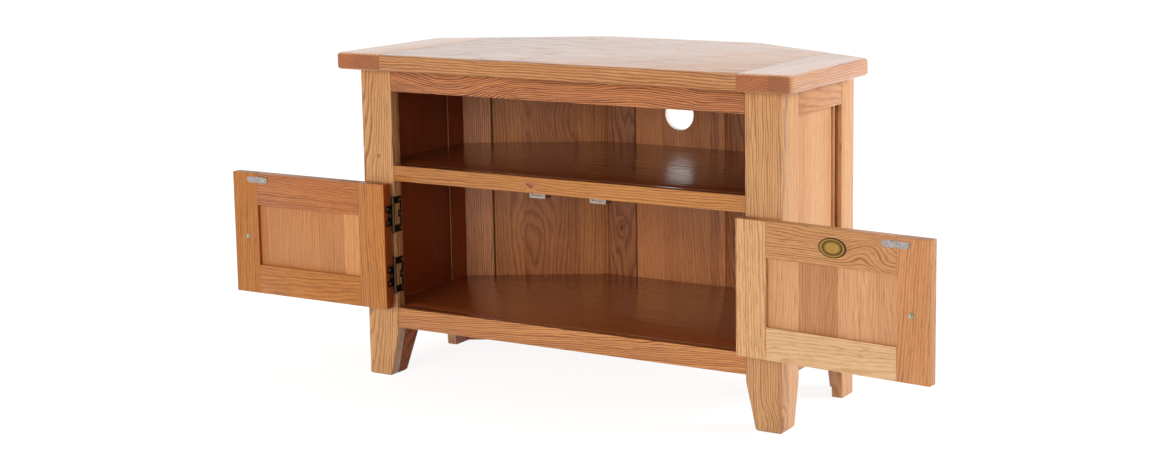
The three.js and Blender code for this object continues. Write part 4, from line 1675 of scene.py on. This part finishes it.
@dataclass
class Plaque:
    """The bare oval plaque inside the right door, lengths in mm.

    Attributes:
        door: The door that it is on.
        half_width: Half its width.
        half_height: Half its height.
        from_hinge: How far its middle is from the pin.
        drop: How far its middle is below the door's top.
        field: Height of the field at its edge and how much the middle adds.
        rim: Height of the rim's foot and of the half-round on it.
        rim_middle: Where the rim's crown runs, as a share of the way out.
        rim_half: Half the rim's width, as a share too.
        shades: Darkness on the way out: clear field, dark groove, rubbed rim, dark edge.
    """

    door: Door
    half_width: float = 25.0
    half_height: float = 16.0
    from_hinge: float = 180.0
    drop: float = 29.5
    field: Pair = (0.55, 0.5)
    rim: Pair = (0.5, 0.95)
    rim_middle: float = 0.88
    rim_half: float = 0.12
    steps: int = 40
    sides: int = 96
    shades: tuple[Pair, ...] = ((0.45, 0.0), (0.7, 1.0), (0.8, 0.1), (0.86, 0.1), (0.92, 1.0))
    mottling: float = 2.381
    mottle_detail: float = 5.0
    relief: Pair = (0.4, 0.2)
    roughness: float = 0.42
    metallic: float = 0.75

    def finish(self, centre: Vector) -> Material:
        """Makes cast brass, aged: a dark rim with rubbed edges and an olive-gold field.

        Args:
            centre: The middle of the plaque.

        Returns:
            The material.
        """
        shader = Shader("aged_brass_plaque")
        local = shader.add(
            "ShaderNodeMapping",
            inputs={
                "Vector": shader.place,
                "Location": centre,
                "Rotation": (0, 0, math.radians(self.door.open_degrees - 180)),
                "Scale": (self.half_width * MM, 1.0, self.half_height * MM),
            },
            vector_type="TEXTURE",
        )
        rim = shader.add("ShaderNodeValToRGB", shader.distance(local, (1, 0, 1)))
        set_ramp(rim.node, self.shades)
        noise = {"Scale": per_metre(self.mottling), "Detail": self.mottle_detail}
        mottle = shader.add("ShaderNodeTexNoise", shader.place, inputs=noise)
        colour = shader.tinted("#C29A48", (mottle, "#8A6A30"), (rim, "#4A2C1C"))
        looks = {
            "Base Color": colour,
            "Roughness": self.roughness,
            "Metallic": self.metallic,
        }
        return shader.metal(mottle, self.relief, looks)

    def points(self) -> np.ndarray:
        """Gives the plaque as rings from its middle to the middle of its back.

        The height is a function of the share of the way out: a low dome, a groove before
        the rim, a half-round rim, and a side that drops to the door.

        Returns:
            The rings, in metres.
        """
        share = np.linspace(0, 1, self.steps)
        edge = self.rim_middle - self.rim_half
        dome = self.field[0] + self.field[1] * (1 - (share / edge) ** 2)
        bulge = np.clip(1 - ((share - self.rim_middle) / self.rim_half) ** 2, 0, 1)
        rim = self.rim[0] + self.rim[1] * np.sqrt(bulge)
        face = np.stack([share, np.where(share < edge, dome, rim)], -1)
        rings = turned(np.vstack([face, [[1.0, 0.0], [0.0, 0.0]]]), self.sides)
        return rings * np.array([self.half_width, self.half_height, 1.0]) * MM

    def build(self) -> None:
        """Makes the plaque and lets it ride on its door."""
        door = self.door
        height = door.top - self.drop
        centre = door.place(-self.from_hinge, door.back + door.glue_line, height)
        frame = facing(centre, door.inward())
        piece = closed_surface("bare_oval_plaque", self.points(), frame, self.finish(centre))
        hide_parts("oval_plaque")
        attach(piece, door.body)
        LOG.info("piece %s on %s", piece.name, door.body)


LEFT_DOOR = Door(
    "left",
    -1,
    180.0,
    50,
    DOOR_LEFT,
    {"top_rail": RUSSET, "panel": PANEL_LEFT},
    panel_tone=0.16,
    panel_strips=((-50.0, 0.08), (20.0, 0.18), (78.0, -0.3)),
)
RIGHT_DOOR = Door(
    "right",
    1,
    174.6,
    60,
    DOOR_RIGHT,
    {"free_stile": AMBER, "top_rail": HONEY, "bottom_rail": PALE, "panel": PANEL_RIGHT},
    panel_tone=-0.04,
    panel_strips=((-60.0, 0.4), (11.0, -0.02), (66.0, 0.06)),
    swirls=((72.0, 6.0, 46.0, 5.0), (98.0, -12.0, 30.0, -3.0)),
)
# The middles of both hinges of a door above the ground, in mm.
HINGE_HEIGHTS = {"upper": 299.5, "lower": 189.5}


def dress_metals(nodes: dict[str, Object]) -> None:
    """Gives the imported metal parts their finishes: hinges, plates, screws and catches.

    Args:
        nodes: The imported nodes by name.
    """
    x, y = HINGE_PIN
    zinc = ZINC.material("zinc_plated_steel")
    finishes = {
        "hinge_": BLACKENED.material("blackened_brass", ((-x, y), (x, y))),
        "strike_": zinc,
        "knob_screw": zinc,
        "magnetic_": CATCH.material("pressed_steel"),
    }
    for name, node in nodes.items():
        for start, metal in finishes.items():
            if name.startswith(start):
                dress_node(node, metal)


def main() -> None:
    """Loads the frame, builds the studio and dresses the cabinet."""
    logging.basicConfig(level=logging.INFO, format="%(name)s: %(message)s")
    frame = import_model()
    nodes = frame["nodes"]
    Studio().build()
    Carcase().dress(nodes)
    dress_metals(nodes)
    screws = SCREW.material("zinc_plated_screws")
    hinge_screws = BLACKENED_SCREWS.material("blackened_screws")
    for door in (LEFT_DOOR, RIGHT_DOOR):
        door.dress(nodes)
        door.build(screws)
        for level, height in HINGE_HEIGHTS.items():
            Hinge(door, level, height).build(hinge_screws)
    Plaque(RIGHT_DOOR).build()


if __name__ == "__main__":
    main()
